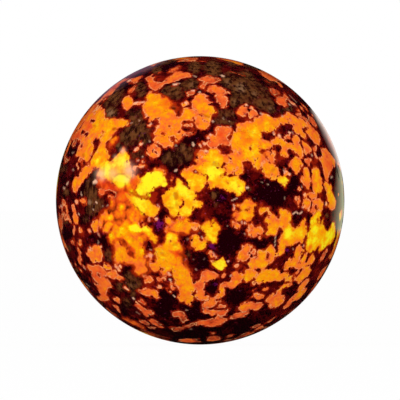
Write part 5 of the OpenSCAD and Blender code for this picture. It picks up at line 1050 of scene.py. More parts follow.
@dataclass
class GeodesicSkin:
    """The ball's face as a net of small triangles, finer towards the front.

    Twenty triangles are each divided frequency times along a side and pushed out to the ball.
    """

    radius: float
    frequency: int = 90
    front_pull: float = 0.45
    same_point: float = 1e-6

    def build(self) -> tuple[Array, Array]:
        """Works the net out.

        Returns:
            Points on the ball, and triangles facing outwards. Each point d on the unit ball goes
            to radius times the direction of d + front_pull (0, -1, 0), which draws them forward.
        """
        g = (1 + math.sqrt(5)) / 2
        tips = unit(np.array([
            (-1, g, 0), (1, g, 0), (-1, -g, 0), (1, -g, 0), (0, -1, g), (0, 1, g),
            (0, -1, -g), (0, 1, -g), (g, 0, -1), (g, 0, 1), (-g, 0, -1), (-g, 0, 1)], float))
        sides = np.array([
            (0, 11, 5), (0, 5, 1), (0, 1, 7), (0, 7, 10), (0, 10, 11), (1, 5, 9), (5, 11, 4),
            (11, 10, 2), (10, 7, 6), (7, 1, 8), (3, 9, 4), (3, 4, 2), (3, 2, 6), (3, 6, 8),
            (3, 8, 9), (4, 9, 5), (2, 4, 11), (6, 2, 10), (8, 6, 7), (9, 8, 1)])
        n = self.frequency
        i, j = np.meshgrid(np.arange(n + 1), np.arange(n + 1), indexing="ij")
        keep = i + j <= n
        number = np.full((n + 1, n + 1), -1)
        number[keep] = np.arange(keep.sum())
        i, j = i[keep], j[keep]
        shares = np.stack([n - i - j, i, j], axis=1) / n
        points = np.einsum("kc,fcx->fkx", shares, tips[sides])
        up_i, up_j = i[i + j < n], j[i + j < n]
        down_i, down_j = i[i + j < n - 1], j[i + j < n - 1]
        up = np.stack([number[up_i, up_j], number[up_i + 1, up_j], number[up_i, up_j + 1]], 1)
        down = np.stack([number[down_i + 1, down_j], number[down_i + 1, down_j + 1],
                         number[down_i, down_j + 1]], 1)
        local = np.concatenate([up, down])
        count = points.shape[1]
        triangles = local[None] + count * np.arange(len(sides))[:, None, None]
        triangles = triangles.reshape(-1, 3)
        points = unit(points.reshape(-1, 3))
        keys = np.round(points / self.same_point).astype(np.int64)
        _, first, same = np.unique(keys, axis=0, return_index=True, return_inverse=True)
        points, triangles = points[first], same.reshape(-1)[triangles]
        points = unit(points + np.array([0.0, -self.front_pull, 0.0])) * self.radius
        a, b, c = (points[triangles[:, k]] for k in range(3))
        inward = np.einsum("ij,ij->i", np.cross(b - a, c - a), a) < 0
        triangles[inward] = triangles[inward][:, ::-1]
        return points, triangles


@dataclass
class MineralMap:
    """Which mineral meets the face where, and how it looks there. Lengths are millimetres.

    A grain's heat fades over crisp_half_fade + soft_half_fade * soft to either side of its
    border. The far side's wild grains lie where far_shapes stands above far_level, from the
    depth y = far_starts backwards, and are at their full size from y = far_full on.
    """

    radius: float
    names: list[str]
    glowing: list[Contour] = field(default_factory=list)
    brown: list[Contour] = field(default_factory=list)
    violet: list[Contour] = field(default_factory=list)
    holes: list[Contour] = field(default_factory=list)
    ripple_seed: int = 11
    ripple_swing: float = 0.022
    blend_width: float = 0.6
    reach_past: float = 2.4
    crisp_half_fade: float = 0.12
    soft_half_fade: float = 0.5
    plain_heat: float = 0.3
    violet_corners: int = 14
    far_shapes: Waves = field(default_factory=lambda: Waves(5, 1.6, 9.0))
    far_level: float = 0.45
    far_starts: float = -12.0
    far_full: float = -2.5
    far_thinning: float = 1.5

    def __post_init__(self) -> None:
        """Draws the waves that make a drawn line wander like a grain's border."""
        rng = np.random.default_rng(self.ripple_seed)
        lengths = np.array([3.1, 2.4, 1.9, 1.5, 1.25, 1.05, 0.9, 0.8])
        count = len(lengths)
        self._waves = unit(rng.normal(size=(count, 3))) * (2 * math.pi / lengths)[:, None]
        self._phases = rng.uniform(0, 2 * math.pi, count)
        swing = self.ripple_swing * np.sqrt(lengths)
        self._swings = unit(rng.normal(size=(count, 3))) * swing[:, None]

    def rippled(self, points: Array) -> Array:
        """The points pushed about by the waves' sum: swing times sin(wave . point + phase)."""
        return points + np.sin(points @ self._waves.T + self._phases) @ self._swings

    def draw_front(self) -> None:
        """Lays every drawn outline on the front of the ball."""
        for name, text in FRONT_GRAINS.items():
            for grain in grains(text):
                self.list_for(name).append(self.laid(grain, self.names.index(name)))
        self.holes = [self.laid(hole, 0) for hole in HOLES]
        angle = np.linspace(0, 2 * math.pi, self.violet_corners, endpoint=False)
        owner = self.names.index("violet_flecks")
        for spot in VIOLET_FLECKS_AND_REFLECTION:
            line = np.stack([spot.right + spot.radius * np.cos(angle),
                             spot.up + spot.radius * np.sin(angle)], axis=1)
            ring = lifted(line, self.radius)
            self.violet.append(contour_of(ring, owner, 0.0, 0.0, self.radius))

    def laid(self, grain: Grain, owner: int) -> Contour:
        """One drawn outline on the ball."""
        ring = lifted(rounded(grain.outline), self.radius)
        return contour_of(ring, owner, grain.heat, grain.soft, self.radius)

    def draw_far(self, far: FarSide) -> None:
        """Lays the far side's grains on the ball, and sorts all glowing grains softest first.

        Args:
            far: What works out the far side's grains.
        """
        for name, ring, heat, soft in far.grains():
            ring = unit(rounded(ring)) * self.radius
            contour = contour_of(ring, self.names.index(name), heat, soft, self.radius)
            self.list_for(name).append(contour)
        self.glowing.sort(key=lambda contour: -contour.soft)

    def list_for(self, name: str) -> list[Contour]:
        """The list that a sub-part's drawn outlines belong in."""
        return self.brown if name.startswith("brown") else self.glowing

    def cover(self, points: Array, contours: Sequence[Contour]) -> dict[str, Array]:
        """Reads a set of contours at points on the ball.

        Args:
            points: Positions on the ball.
            contours: The contours to read.

        Returns:
            edge, the greatest signed distance; owner, that of the last contour that holds the
            point, or outside all of them the nearest's; and heat and soft. Outside, these are
            means of the contours' own weighted by exp(distance / blend_width), or plain_heat
            and 0 where none is near, and inside each contour is painted over those before.
        """
        count = len(points)
        moved = self.rippled(points)
        edge, owner = np.full(count, OUTSIDE), np.zeros(count, int)
        weight, soft = np.full(count, TINY), np.zeros(count)
        heat = np.full(count, self.plain_heat * TINY)
        read = []
        for c in contours:
            limit = c.reach + self.reach_past
            near = np.flatnonzero(((points - c.middle) ** 2).sum(1) < limit**2)
            if not len(near):
                continue
            distance = c.signed_distance(moved[near])
            read.append((c, near, distance))
            closer = distance > np.minimum(edge[near], 0.0)
            owner[near[closer]] = c.owner
            edge[near] = np.maximum(edge[near], distance)
            share = np.exp(distance / self.blend_width)
            weight[near] += share
            heat[near] += share * c.heat
            soft[near] += share * c.soft
        heat, soft = heat / weight, soft / weight
        for c, near, distance in read:
            half = self.crisp_half_fade + self.soft_half_fade * c.soft
            over = eased(distance, -half, half)
            heat[near] += (c.heat - heat[near]) * over
            soft[near] += (c.soft - soft[near]) * over
        return {"edge": edge, "owner": owner, "heat": heat, "soft": soft}

    def glow_edge(self, points: Array) -> Array:
        """Signed distance to the nearest glowing grain's border, with the dark holes cut out."""
        return self.with_holes(points, self.cover(points, self.glowing)["edge"])

    def with_holes(self, points: Array, edge: Array) -> Array:
        """Joins the far side's wild grains on, and cuts out the dark pockets and slits.

        Args:
            points: Positions on the ball.
            edge: Their signed distances to the border of the grains in the lists.

        Returns:
            The greater of edge and the wild grains' own distance, or the distance outside a
            pocket or slit where that is less.
        """
        moved = self.rippled(points)
        edge = np.maximum(edge, self.far_edge(points))
        edge = np.minimum(edge, -self.cover(points, self.holes)["edge"])
        for slit in SLITS:
            edge = np.minimum(edge, streak_distance(moved, slit) - slit.half_width)
        return edge

    def far_share(self, points: Array) -> Array:
        """How far a point belongs to the far side, from 0 to 1."""
        return eased(points[:, 1], self.far_starts, self.far_full)

    def far_edge(self, points: Array) -> Array:
        """Signed distance to the border of the far side's wild grains: (field - level) / slope,
        less up to far_thinning where they thin out towards the front."""
        inside = (self.far_shapes.at(points) - self.far_level) / self.far_shapes.slope
        inside = inside - self.far_thinning * (1.0 - self.far_share(points))
        return np.where(points[:, 1] > self.far_starts, inside, OUTSIDE)

    def owners(self, points: Array) -> Array:
        """Shares the face out: glowing grains lie over violet ones, and those over brown.

        Args:
            points: Positions on the ball.

        Returns:
            The number of the sub-part that holds each point. A wild grain goes to the far
            sub-part nearest to it, or where none is near to the orange one of its own half.
        """
        glow = self.cover(points, self.glowing)
        glow_edge = self.with_holes(points, glow["edge"])
        violet = self.cover(points, self.violet)
        brown = self.cover(points, self.brown)
        owner = np.zeros(len(points), int)
        owner = np.where(brown["edge"] > 0, brown["owner"], owner)
        owner = np.where(violet["edge"] > 0, violet["owner"], owner)
        far_names = {number for number, name in enumerate(self.names) if "_back" in name}
        far = self.cover(points, [c for c in self.glowing if c.owner in far_names])
        lower, upper = (self.names.index(f"orange_grains_back_{h}") for h in ("lower", "upper"))
        half = np.where(points[:, 2] > 0, upper, lower)
        wild = np.where(far["edge"] > OUTSIDE, far["owner"], half)
        grain = np.where(glow["edge"] > 0, glow["owner"], wild)
        return np.where(glow_edge > 0, grain, owner)


def streak_distance(points: Array, streak: Streak) -> Array:
    """Measures how far points are from a streak's middle line on the front disc.

    Args:
        points: Positions on the ball.
        streak: The streak. Each point is dropped on its line, and the foot held between its ends.

    Returns:
        The distance from each point to its foot, and FAR_AWAY for points behind the ball.
    """
    start = np.array([streak.start_right, streak.start_up])
    end = np.array([streak.end_right, streak.end_up])
    line = end - start
    x, z = points[:, 0] - start[0], points[:, 2] - start[1]
    share = np.clip((x * line[0] + z * line[1]) / max(float(line @ line), TINY), 0, 1)
    gap = np.hypot(x - share * line[0], z - share * line[1])
    return np.where(points[:, 1] < 0, gap, FAR_AWAY)


def blob_strength(points: Array, blob: Blob) -> Array:
    """exp(-(d / radius)^2) of the distance d on the front disc, and nothing behind the ball."""
    gap2 = (points[:, 0] - blob.right) ** 2 + (points[:, 2] - blob.up) ** 2
    return np.where(points[:, 1] < 0, np.exp(-gap2 / blob.radius**2), 0.0)


@dataclass
class BallMosaic:
    """The whole ball: its net of triangles, shared out among the minerals, and its solids.

    A fade is the span of millimetres inside a border, a mark's or a drawn feldspar grain's, over
    which it takes hold. The far side's waves stand mostly between -2 and 2.
    """

    radius: float
    grain_depth: float = 2.0
    snap_share: float = 0.48
    tidy_rounds: int = 40
    lone_sides: int = 3
    furthest_edge: float = -4.0
    hole_margin: float = 0.6
    drawn_brown: float = 0.6
    brown_fade: tuple[float, float] = (-1.2, 0.5)
    mark_fade: tuple[float, float] = (-0.05, 0.05)
    seam_fade: tuple[float, float] = (-0.2, 0.05)
    far_heat: float = 0.16
    far_shade: float = 0.22
    far_brown_amount: float = 1.3
    far_brown_waves: tuple[float, float] = (0.7, 1.7)
    names: list[str] = field(default_factory=list)
    far_warmth: Waves = field(default_factory=lambda: Waves(21, 2.5, 16.0))
    far_brown: Waves = field(default_factory=lambda: Waves(22, 3.0, 14.0))
    far_tone: Waves = field(default_factory=lambda: Waves(23, 2.0, 9.0))

    def build(self) -> None:
        """Works out the net, the minerals' borders on it, and the look at every point."""
        self.minerals = MineralMap(self.radius, self.names)
        self.minerals.draw_front()
        self.minerals.draw_far(FarSide(DRAWN_RADIUS))
        self.points, self.triangles = GeodesicSkin(self.radius).build()
        self.edges, self.edge_sides = self.find_edges()
        self.snap_to_borders()
        middles = unit(self.points[self.triangles].mean(axis=1)) * self.radius
        self.owner = self.tidied(self.minerals.owners(middles))
        self.look = self.read_look()

    def find_edges(self) -> tuple[Array, Array]:
        """The net's edges as pairs of points, and the two triangles beside each.

        Returns:
            For each edge its ends a and b, and the triangle that runs from a to b followed by
            the one that runs from b to a.
        """
        runs = np.concatenate([self.triangles[:, [0, 1]], self.triangles[:, [1, 2]],
                               self.triangles[:, [2, 0]]])
        triangle = np.tile(np.arange(len(self.triangles)), 3)
        forward = runs[:, 0] < runs[:, 1]
        size = len(self.points)
        low = np.argsort(runs[forward, 0] * size + runs[forward, 1])
        high = np.argsort(runs[~forward, 1] * size + runs[~forward, 0])
        ends = runs[forward][low]
        sides = np.stack([triangle[forward][low], triangle[~forward][high]], axis=1)
        return ends, sides

    def spacing(self) -> Array:
        """Measures the net.

        Returns:
            The mean length of the edges that meet at each point.
        """
        ends = self.points[self.edges]
        length = np.linalg.norm(ends[:, 0] - ends[:, 1], axis=1)
        at = self.edges.T.reshape(-1)
        return np.bincount(at, weights=np.tile(length, 2)) / np.bincount(at)

    def snap_to_borders(self) -> None:
        """Moves each point close to a mineral's border on to it, so that cuts run smooth."""
        reach = self.spacing() * self.snap_share
        taken = np.zeros(len(self.points), bool)
        fields: list[Callable[[Array], Array]] = [
            self.minerals.glow_edge,
            lambda p: self.minerals.cover(p, self.minerals.violet)["edge"],
            lambda p: self.minerals.cover(p, self.minerals.brown)["edge"],
        ]
        for distance_to in fields:
            near = np.flatnonzero((np.abs(distance_to(self.points)) < reach) & ~taken)
            if len(near):
                self.points[near] = self.walked(self.points[near], distance_to, reach[near])
                taken[near] = True

    def walked(self, start: Array, distance_to: Callable[[Array], Array], reach: Array) -> Array:
        """Two steps of Newton's rule along the ball towards where a distance is nought.

        Args:
            start: The points to move.
            distance_to: The signed distance at given points.
            reach: The furthest that each point may move.

        Returns:
            The moved points. Each step is minus the distance times its slope over the slope
            squared, the slope being measured a short way along two directions on the ball.
        """
        step, least_steepness = 0.03, 0.2
        slanting = np.array([0.31, 0.52, 0.79])
        points = start.copy()
        for _ in range(2):
            out = unit(points)
            across = unit(np.cross(out, slanting))
            upward = np.cross(out, across)
            here = distance_to(points)
            slope = sum(
                ((distance_to(points + step * d) - here) / step)[:, None] * d
                for d in (across, upward)
            )
            size = np.maximum((slope**2).sum(1), least_steepness)
            points = points - (here / size)[:, None] * slope
            move = points - start
            far = np.maximum(np.linalg.norm(move, axis=1) / reach, 1.0)
            points = unit(start + move / far[:, None]) * self.radius
        return points

    def tidied(self, owner: Array) -> Array:
        """Clears slivers, and points where one mineral meets itself corner to corner.

        Args:
            owner: The number of the sub-part that holds each triangle.

        Returns:
            The same with each lone triangle given to its neighbours, and each such corner
            given to whichever sub-part holds most of the triangles round it.
        """
        owner = owner.copy()
        kinds = len(self.names)
        size = len(self.points)
        for _ in range(self.tidy_rounds):
            sides = owner[self.edge_sides]
            differ = np.flatnonzero(sides[:, 0] != sides[:, 1])
            strange = np.bincount(self.edge_sides[differ].reshape(-1), minlength=len(owner))
            alone = strange >= self.lone_sides
            met = self.edges[differ][:, :, None] * kinds + sides[differ][:, None, :]
            counts = np.bincount(met.reshape(-1), minlength=size * kinds)
            bad = (counts.reshape(size, kinds) > 2).any(1)
            if not bad.any() and not alone.any():
                break
            held = np.bincount((self.triangles * kinds + owner[:, None]).reshape(-1),
                               minlength=size * kinds)
            most = held.reshape(size, kinds).argmax(1)
            for corner in range(3):
                at = self.triangles[:, corner]
                change = bad[at]
                owner[change] = most[at[change]]
            owner[alone] = most[self.triangles[alone, 0]]
        return owner

    def read_look(self) -> dict[str, Array]:
        """Works out the numbers that the finishes read.

        Brown is drawn_brown where a feldspar grain is drawn, and stains can take it further.
        On the far side, waves add warmth, feldspar where they stand high, and redder and blacker
        patches of ground. On the front, the redder ground is painted light, glow spilt from the
        grains, and the blacker ground along the rim is painted shade.

        Returns:
            Each number's name, with its value at each point of the net.
        """
        p = self.points
        glow = self.minerals.cover(p, self.minerals.glowing)
        holes = self.minerals.cover(p, self.minerals.holes)
        far = self.minerals.far_share(p)
        heat = glow["heat"] + self.far_heat * far * self.far_warmth.at(p)
        for blob in HOT_SPOTS_AND_LAMP_POOL:
            heat = heat + (blob.amount - heat) * blob_strength(p, blob)
        brown_edge = self.minerals.cover(p, self.minerals.brown)["edge"]
        brown = self.drawn_brown * eased(brown_edge, *self.brown_fade)
        brown = np.maximum(brown, self.painted(p, BROWN_STAINS))
        far_brown = eased(self.far_brown.at(p), *self.far_brown_waves)
        brown = np.maximum(brown, self.far_brown_amount * far * far_brown)
        # Red here is painted glow spilt from the grains, and dark along the rim is painted shade.
        tone_glow_and_shade = sum(blob.amount * blob_strength(p, blob) for blob in GROUND_TONES_GLOW_AND_SHADE)
        # pale holds the pale marks' own colour with painted glints, and the painted lamp highlight.
        pale = np.maximum(self.marked(p, PALE_MARKS_AND_GLINTS, self.mark_fade), self.painted(p, LAMP_HIGHLIGHT_PATCHES))
        in_hole = holes["edge"] > -self.hole_margin
        return {
            "edge": np.maximum(self.minerals.with_holes(p, glow["edge"]), self.furthest_edge),
            "warmth": heat,
            "soft": np.where(in_hole, holes["soft"], glow["soft"]),
            "brown": brown,
            "tone_glow_and_shade": tone_glow_and_shade + self.far_shade * far * self.far_tone.at(p),
            # violet is a painted reflection of lamp light on the flecks' faces.
            "violet": sum(spot.amount * blob_strength(p, spot) for spot in VIOLET_FLECKS_AND_REFLECTION),
            "ember": self.painted(p, EMBERS),
            "seam": self.marked(p, SEAMS, self.seam_fade),
            "pale": pale,
        }

    def marked(self, points: Array, marks: Sequence[Streak],
               fade: tuple[float, float]) -> Array:
        """Finds the strongest of a list of marks at each point.

        Args:
            points: Positions on the ball.
            marks: The marks.
            fade: How far inside its border a mark starts, and is whole, in millimetres.

        Returns:
            The marks' strengths.
        """
        strength = np.zeros(len(points))
        for mark in marks:
            gap = streak_distance(points, mark) - mark.half_width
            strength = np.maximum(strength, mark.amount * eased(-gap, *fade))
        return strength

    def painted(self, points: Array, stains: Sequence[Blob]) -> Array:
        """Finds the strongest of a list of stains at each point.

        Args:
            points: Positions on the ball.
            stains: The stains.

        Returns:
            The stains' strengths.
        """
        strength = np.zeros(len(points))
        for stain in stains:
            strength = np.maximum(strength, stain.amount * blob_strength(points, stain))
        return strength

    def solid(self, number: int) -> tuple[Array, Array, Array, Array]:
        """One sub-part's closed solid.

        Args:
            number: The sub-part's place in the list of names. 0 is the ground mass.

        Returns:
            Points, triangles, the net's point under each point, and each triangle's kind:
            0 for the polished face, 1 for a wall and 2 for a floor. A mineral has its face, the
            same triangles grain_depth below turned round, and walls between. The ground mass
            has its face, a floor under each other mineral, and walls along their borders.
        """
        deep = len(self.points)
        mine = self.owner == number
        face = self.triangles[mine]
        ground = number == 0
        floor = self.triangles[~mine] + deep if ground else face[:, ::-1] + deep
        first, second = mine[self.edge_sides[:, 0]], mine[self.edge_sides[:, 1]]
        a, b = self.edges[:, 0], self.edges[:, 1]
        start = np.concatenate([a[first & ~second], b[second & ~first]])
        end = np.concatenate([b[first & ~second], a[second & ~first]])
        walls = np.concatenate([
            np.stack([end, start, start + deep], axis=1),
            np.stack([end, start + deep, end + deep], axis=1),
        ])
        triangles = np.concatenate([face, walls, floor])
        kinds = np.repeat([0, 1, 2], [len(face), len(walls), len(floor)])
        below = self.points * ((self.radius - self.grain_depth) / self.radius)
        both = np.concatenate([self.points, below])
        used, packed = np.unique(triangles, return_inverse=True)
        return both[used], packed.reshape(-1, 3), used % deep, kinds

    def piece(self, number: int) -> bpy.types.Object:
        """Makes one sub-part's mesh, with the look stored at its points.

        Args:
            number: The sub-part's place in the list of names.

        Returns:
            The new object. Its face carries the ball's own normals, so that the polish runs
            over the net's facets and across the sub-parts without a break.
        """
        points, triangles, under, kinds = self.solid(number)
        name = f"{self.names[number]}_polished"
        mesh = bpy.data.meshes.new(name)
        mesh.vertices.add(len(points))
        mesh.vertices.foreach_set("co", (points * MM).astype(np.float32).reshape(-1))
        mesh.loops.add(triangles.size)
        mesh.loops.foreach_set("vertex_index", triangles.astype(np.int32).reshape(-1))
        mesh.polygons.add(len(triangles))
        mesh.polygons.foreach_set("loop_start", np.arange(0, triangles.size, 3, dtype=np.int32))
        mesh.update(calc_edges=True)
        for key, values in self.look.items():
            layer = mesh.attributes.new(key, "FLOAT", "POINT")
            layer.data.foreach_set("value", values[under].astype(np.float32))
        mesh.polygons.foreach_set("use_smooth", np.ones(len(triangles), bool))
        corners = points[triangles]
        flat = unit(np.cross(corners[:, 1] - corners[:, 0], corners[:, 2] - corners[:, 0]))
        normals = np.repeat(flat[:, None, :], 3, axis=1)
        round_out = unit(corners)
        normals[kinds == 0] = round_out[kinds == 0]
        mesh.normals_split_custom_set(normals.reshape(-1, 3).tolist())
        mesh.validate()
        piece = bpy.data.objects.new(name, mesh)
        bpy.context.scene.collection.objects.link(piece)
        return piece


# What may feed a node's input: another node's output, or a plain value.
Link = bpy.types.NodeSocket | float | tuple


def add_node(tree: bpy.types.NodeTree, kind: str, inputs: dict[int | str, Link] | None = None,
             output: int | str = 0, **settings: object) -> bpy.types.NodeSocket:
    """Adds one node, sets it and links it.

    Args:
        tree: The node tree to add to.
        kind: The node's type after "ShaderNode".
        inputs: For each input, by name or number, a value or the socket that feeds it.
        output: The output to hand back, by name or number.
        settings: The node's own settings.

    Returns:
        The chosen output.
    """
    node = tree.nodes.new(f"ShaderNode{kind}")
    for key, value in settings.items():
        setattr(node, key, value)
    for key, value in (inputs or {}).items():
        if isinstance(value, bpy.types.NodeSocket):
            tree.links.new(value, node.inputs[key])
        else:
            node.inputs[key].default_value = value
    return node.outputs[output]


# The ground mass: near-black, with maroon and dull red clouds.
NEAR_BLACK, MAROON, DULL_RED = "#1e0004", "#580606", "#981c08"
# Feldspar: dark cleavage streaks in olive brown, and tan where the laths are pale.
STREAK_BROWN, OLIVE_BROWN, TAN = "#280a06", "#70401f", "#a88060"
# Red light that spills from a glowing grain, far and near, and dusty specks in the dark.
DEEP_HALO, RED_HALO, SPECK = "#80120a", "#b42c08", "#b8604c"
# On the glow: red embers, hairline veins, brown seams and the pale rims of crisp grains.
EMBER, VEIN, SEAM, PALE_RIM = "#ee3a10", "#b83c0c", "#b43e04", "#ffb274"
# The peach white is the pale marks' colour and also painted highlight and glints.
# VIOLET is a painted reflection of lamp light on the violet flecks.
VIOLET, PALE_MARK_AND_HIGHLIGHT_WHITE = "#7c1264", "#ffc6a2"
BLACK = (0.0, 0.0, 0.0, 1.0)
# The share of a glowing grain's colour that it gives out, and how brightly.
GLOW_SHARE, GLOW_STRENGTH = 0.6, 1.12
# How much of their depth the polish's fine pits show.
PIT_SHARE = 0.12


@dataclass(frozen=True)
class Pattern:
    """Cloudy noise fixed in the stone.

    width_mm is about the width of one cloud, and detail how many finer layers it has. seed says
    which noise it is: the place along a fourth axis. stretch is how much finer it is along each
    axis.
    """

    width_mm: float
    detail: float
    seed: float
    stretch: tuple[float, float, float] = (1.0, 1.0, 1.0)


@dataclass(frozen=True)
class Band:
    """A smooth step from start to end while a value goes from low to high."""

    low: float
    high: float
    start: float = 0.0
    end: float = 1.0


@dataclass
class MosaicPaint:
    """The colours of the mosaic as shader nodes, the same on both sides of every border.

    Every sub-part reads the look stored at its points, so a border's colours meet exactly.
    *_wander is how far a pattern moves the grains' borders in millimetres, *_heat how far it
    warms the glow, and *_shade how far it lightens the ground. *_mean is what patterns come to
    on the whole, and is taken off their sum. A Band is named for what it gives and reads.
    layer_share is the strength of each finer layer of noise beside the one before.
    """

    tree: bpy.types.NodeTree
    clouds: Pattern = Pattern(2.4, 3.0, 0.0)
    mottles: Pattern = Pattern(0.95, 4.0, 3.1)
    grits: Pattern = Pattern(0.42, 3.0, 7.7)
    nicks: Pattern = Pattern(0.55, 2.0, 6.2, (1.0, 1.0, 0.6))
    veins: Pattern = Pattern(1.7, 4.0, 5.3)
    rims: Pattern = Pattern(1.3, 2.0, 9.1)
    laths: Pattern = Pattern(0.9, 4.0, 2.7, (1.0, 1.0, 0.45))
    pits: Pattern = Pattern(0.42, 2.0, 4.4)
    layer_share: float = 0.62
    facet_mm: float = 1.0
    lump_mm: float = 1.5
    # The grains' borders: how they wander, and half the width over which they fade.
    mottle_wander: float = 0.8
    grit_wander: float = 0.5
    facet_wander: float = 0.45
    wander_mean: float = 0.83
    nick_wander: float = -0.4
    nick_places: Band = Band(0.60, 0.64)
    crisp_half_fade: float = 0.06
    soft_half_fade: float = 0.5
    # The glow: its heat, and the milky lumps where a grain is soft.
    mottle_heat: float = 0.7
    grit_heat: float = 0.3
    heat_mean: float = 1.03
    milky_softness: Band = Band(0.12, 0.6, 0.15, 1.0)
    milky_tint: tuple[float, float, float] = (1.0, 1.0, 0.25)
    lump_heat: float = -0.9
    lump_mean: float = 0.58
    border_heat: float = -0.14
    border_mm: float = 0.45
    # Hairline veins across the glow.
    vein_level: float = 0.5
    vein_half_width: float = 0.010
    vein_clouds: Band = Band(0.46, 0.56)
    vein_warmth: Band = Band(0.5, 0.75, 0.45, 0.1)
    # Pale rims, in millimetres from the border, and where they show.
    rim_outer_mm: Band = Band(0.02, 0.08)
    rim_inner_mm: Band = Band(0.15, 0.27, 1.0, 0.0)
    rim_softness: Band = Band(0.15, 0.45, 1.0, 0.0)
    rim_warmth: Band = Band(0.35, 0.7, 1.0, 0.2)
    rim_patches: Band = Band(0.40, 0.58, 0.1, 0.8)
    # The ground mass and its feldspar.
    grit_shade: float = 0.8
    glow_spill_and_tone_shade: float = 0.75
    maroon_shades: Band = Band(1.24, 1.50)
    dull_red_shades: Band = Band(1.56, 1.95)
    olive_laths: Band = Band(0.40, 0.60)
    tan_laths: Band = Band(0.42, 0.60)
    tan_stains: Band = Band(0.9, 1.8, 0.0, 0.6)
    feldspar_share: float = 0.9
    feldspar_mean: float = 0.5
    feldspar_amounts: Band = Band(0.20, 0.75)
    # Haloes round the grains: how far they reach, by how soft the border is, and their strength.
    deep_halo_mm: float = 0.5
    deep_halo_share: float = 0.7
    red_halo_mm: float = 0.12
    red_halo_soft_mm: float = 1.2
    red_halo_cloud_mm: float = 0.4
    red_halo_clouds: Band = Band(0.47, 0.58)
    red_halo_share: float = 0.9
    speck_grits: Band = Band(0.65, 0.68)
    speck_clouds: Band = Band(0.45, 0.6, 0.05, 0.4)
    # The ragged edges of the painted violet reflection on the flecks.
    violet_grit: float = 2.4
    violet_mean: float = 1.2
    violet_amounts: Band = Band(0.2, 0.9, 0.0, 0.8)

    def read(self, name: str) -> bpy.types.NodeSocket:
        """One of the numbers stored at the mesh's points."""
        return add_node(self.tree, "Attribute", attribute_name=name, output="Fac")

    def noise(self, pattern: Pattern) -> bpy.types.NodeSocket:
        """Reads a pattern at each point of the face.

        Args:
            pattern: The pattern.

        Returns:
            A number that is mostly between 0.25 and 0.75.
        """
        place = add_node(self.tree, "TexCoord", output="Object")
        scale = tuple(s / (pattern.width_mm * MM) for s in pattern.stretch)
        place = add_node(self.tree, "VectorMath", {0: place, 1: scale}, operation="MULTIPLY")
        return add_node(self.tree, "TexNoise",
                        {"Vector": place, "W": pattern.seed, "Scale": 1.0,
                         "Detail": pattern.detail, "Roughness": self.layer_share},
                        noise_dimensions="4D")

    def facets(self, width_mm: float) -> bpy.types.NodeSocket:
        """How far a point is from the middle of its crystal, in crystal widths: about 0 to 0.8."""
        place = add_node(self.tree, "TexCoord", output="Object")
        return add_node(self.tree, "TexVoronoi", {"Vector": place, "Scale": 1 / (width_mm * MM)},
                        output="Distance")

    def step(self, value: Link, low: Link, high: Link, start: float = 0.0,
             end: float = 1.0) -> bpy.types.NodeSocket:
        """A smooth step from start to end while value goes from low to high."""
        return add_node(self.tree, "MapRange", {"Value": value, "From Min": low,
                                                "From Max": high, "To Min": start,
                                                "To Max": end}, interpolation_type="SMOOTHSTEP")

    def within(self, value: Link, band: Band) -> bpy.types.NodeSocket:
        """A band's smooth step, read at a value."""
        return self.step(value, band.low, band.high, band.start, band.end)

    def sum(self, first: Link, factor: float, second: Link) -> bpy.types.NodeSocket:
        """first + factor times second."""
        return add_node(self.tree, "Math", {0: second, 1: factor, 2: first},
                        operation="MULTIPLY_ADD")

    def times(self, first: Link, second: Link) -> bpy.types.NodeSocket:
        """first times second, held between 0 and 1."""
        return add_node(self.tree, "Math", {0: first, 1: second}, operation="MULTIPLY",
                        use_clamp=True)

    def mix(self, share: Link, under: Link, over: Link) -> bpy.types.NodeSocket:
        """under, with share of it covered by over."""
        return add_node(self.tree, "Mix", {0: share, 6: under, 7: over}, output=2,
                        data_type="RGBA")

    def ramp(self, heat: Link) -> bpy.types.NodeSocket:
        """Turns heat into colour by HEAT_RAMP.

        Args:
            heat: The heat.

        Returns:
            The colour.
        """
        coldest, hottest = HEAT_RAMP[0][0], HEAT_RAMP[-1][0]
        share = add_node(self.tree, "MapRange", {"Value": heat, "From Min": coldest,
                                                 "From Max": hottest})
        colour = add_node(self.tree, "ValToRGB", {"Fac": share}, output="Color")
        stops = colour.node.color_ramp.elements
        for place, code in HEAT_RAMP[1:-1]:
            stops.new((place - coldest) / (hottest - coldest)).color = linear(code)
        stops[0].color, stops[-1].color = linear(HEAT_RAMP[0][1]), linear(HEAT_RAMP[-1][1])
        return colour

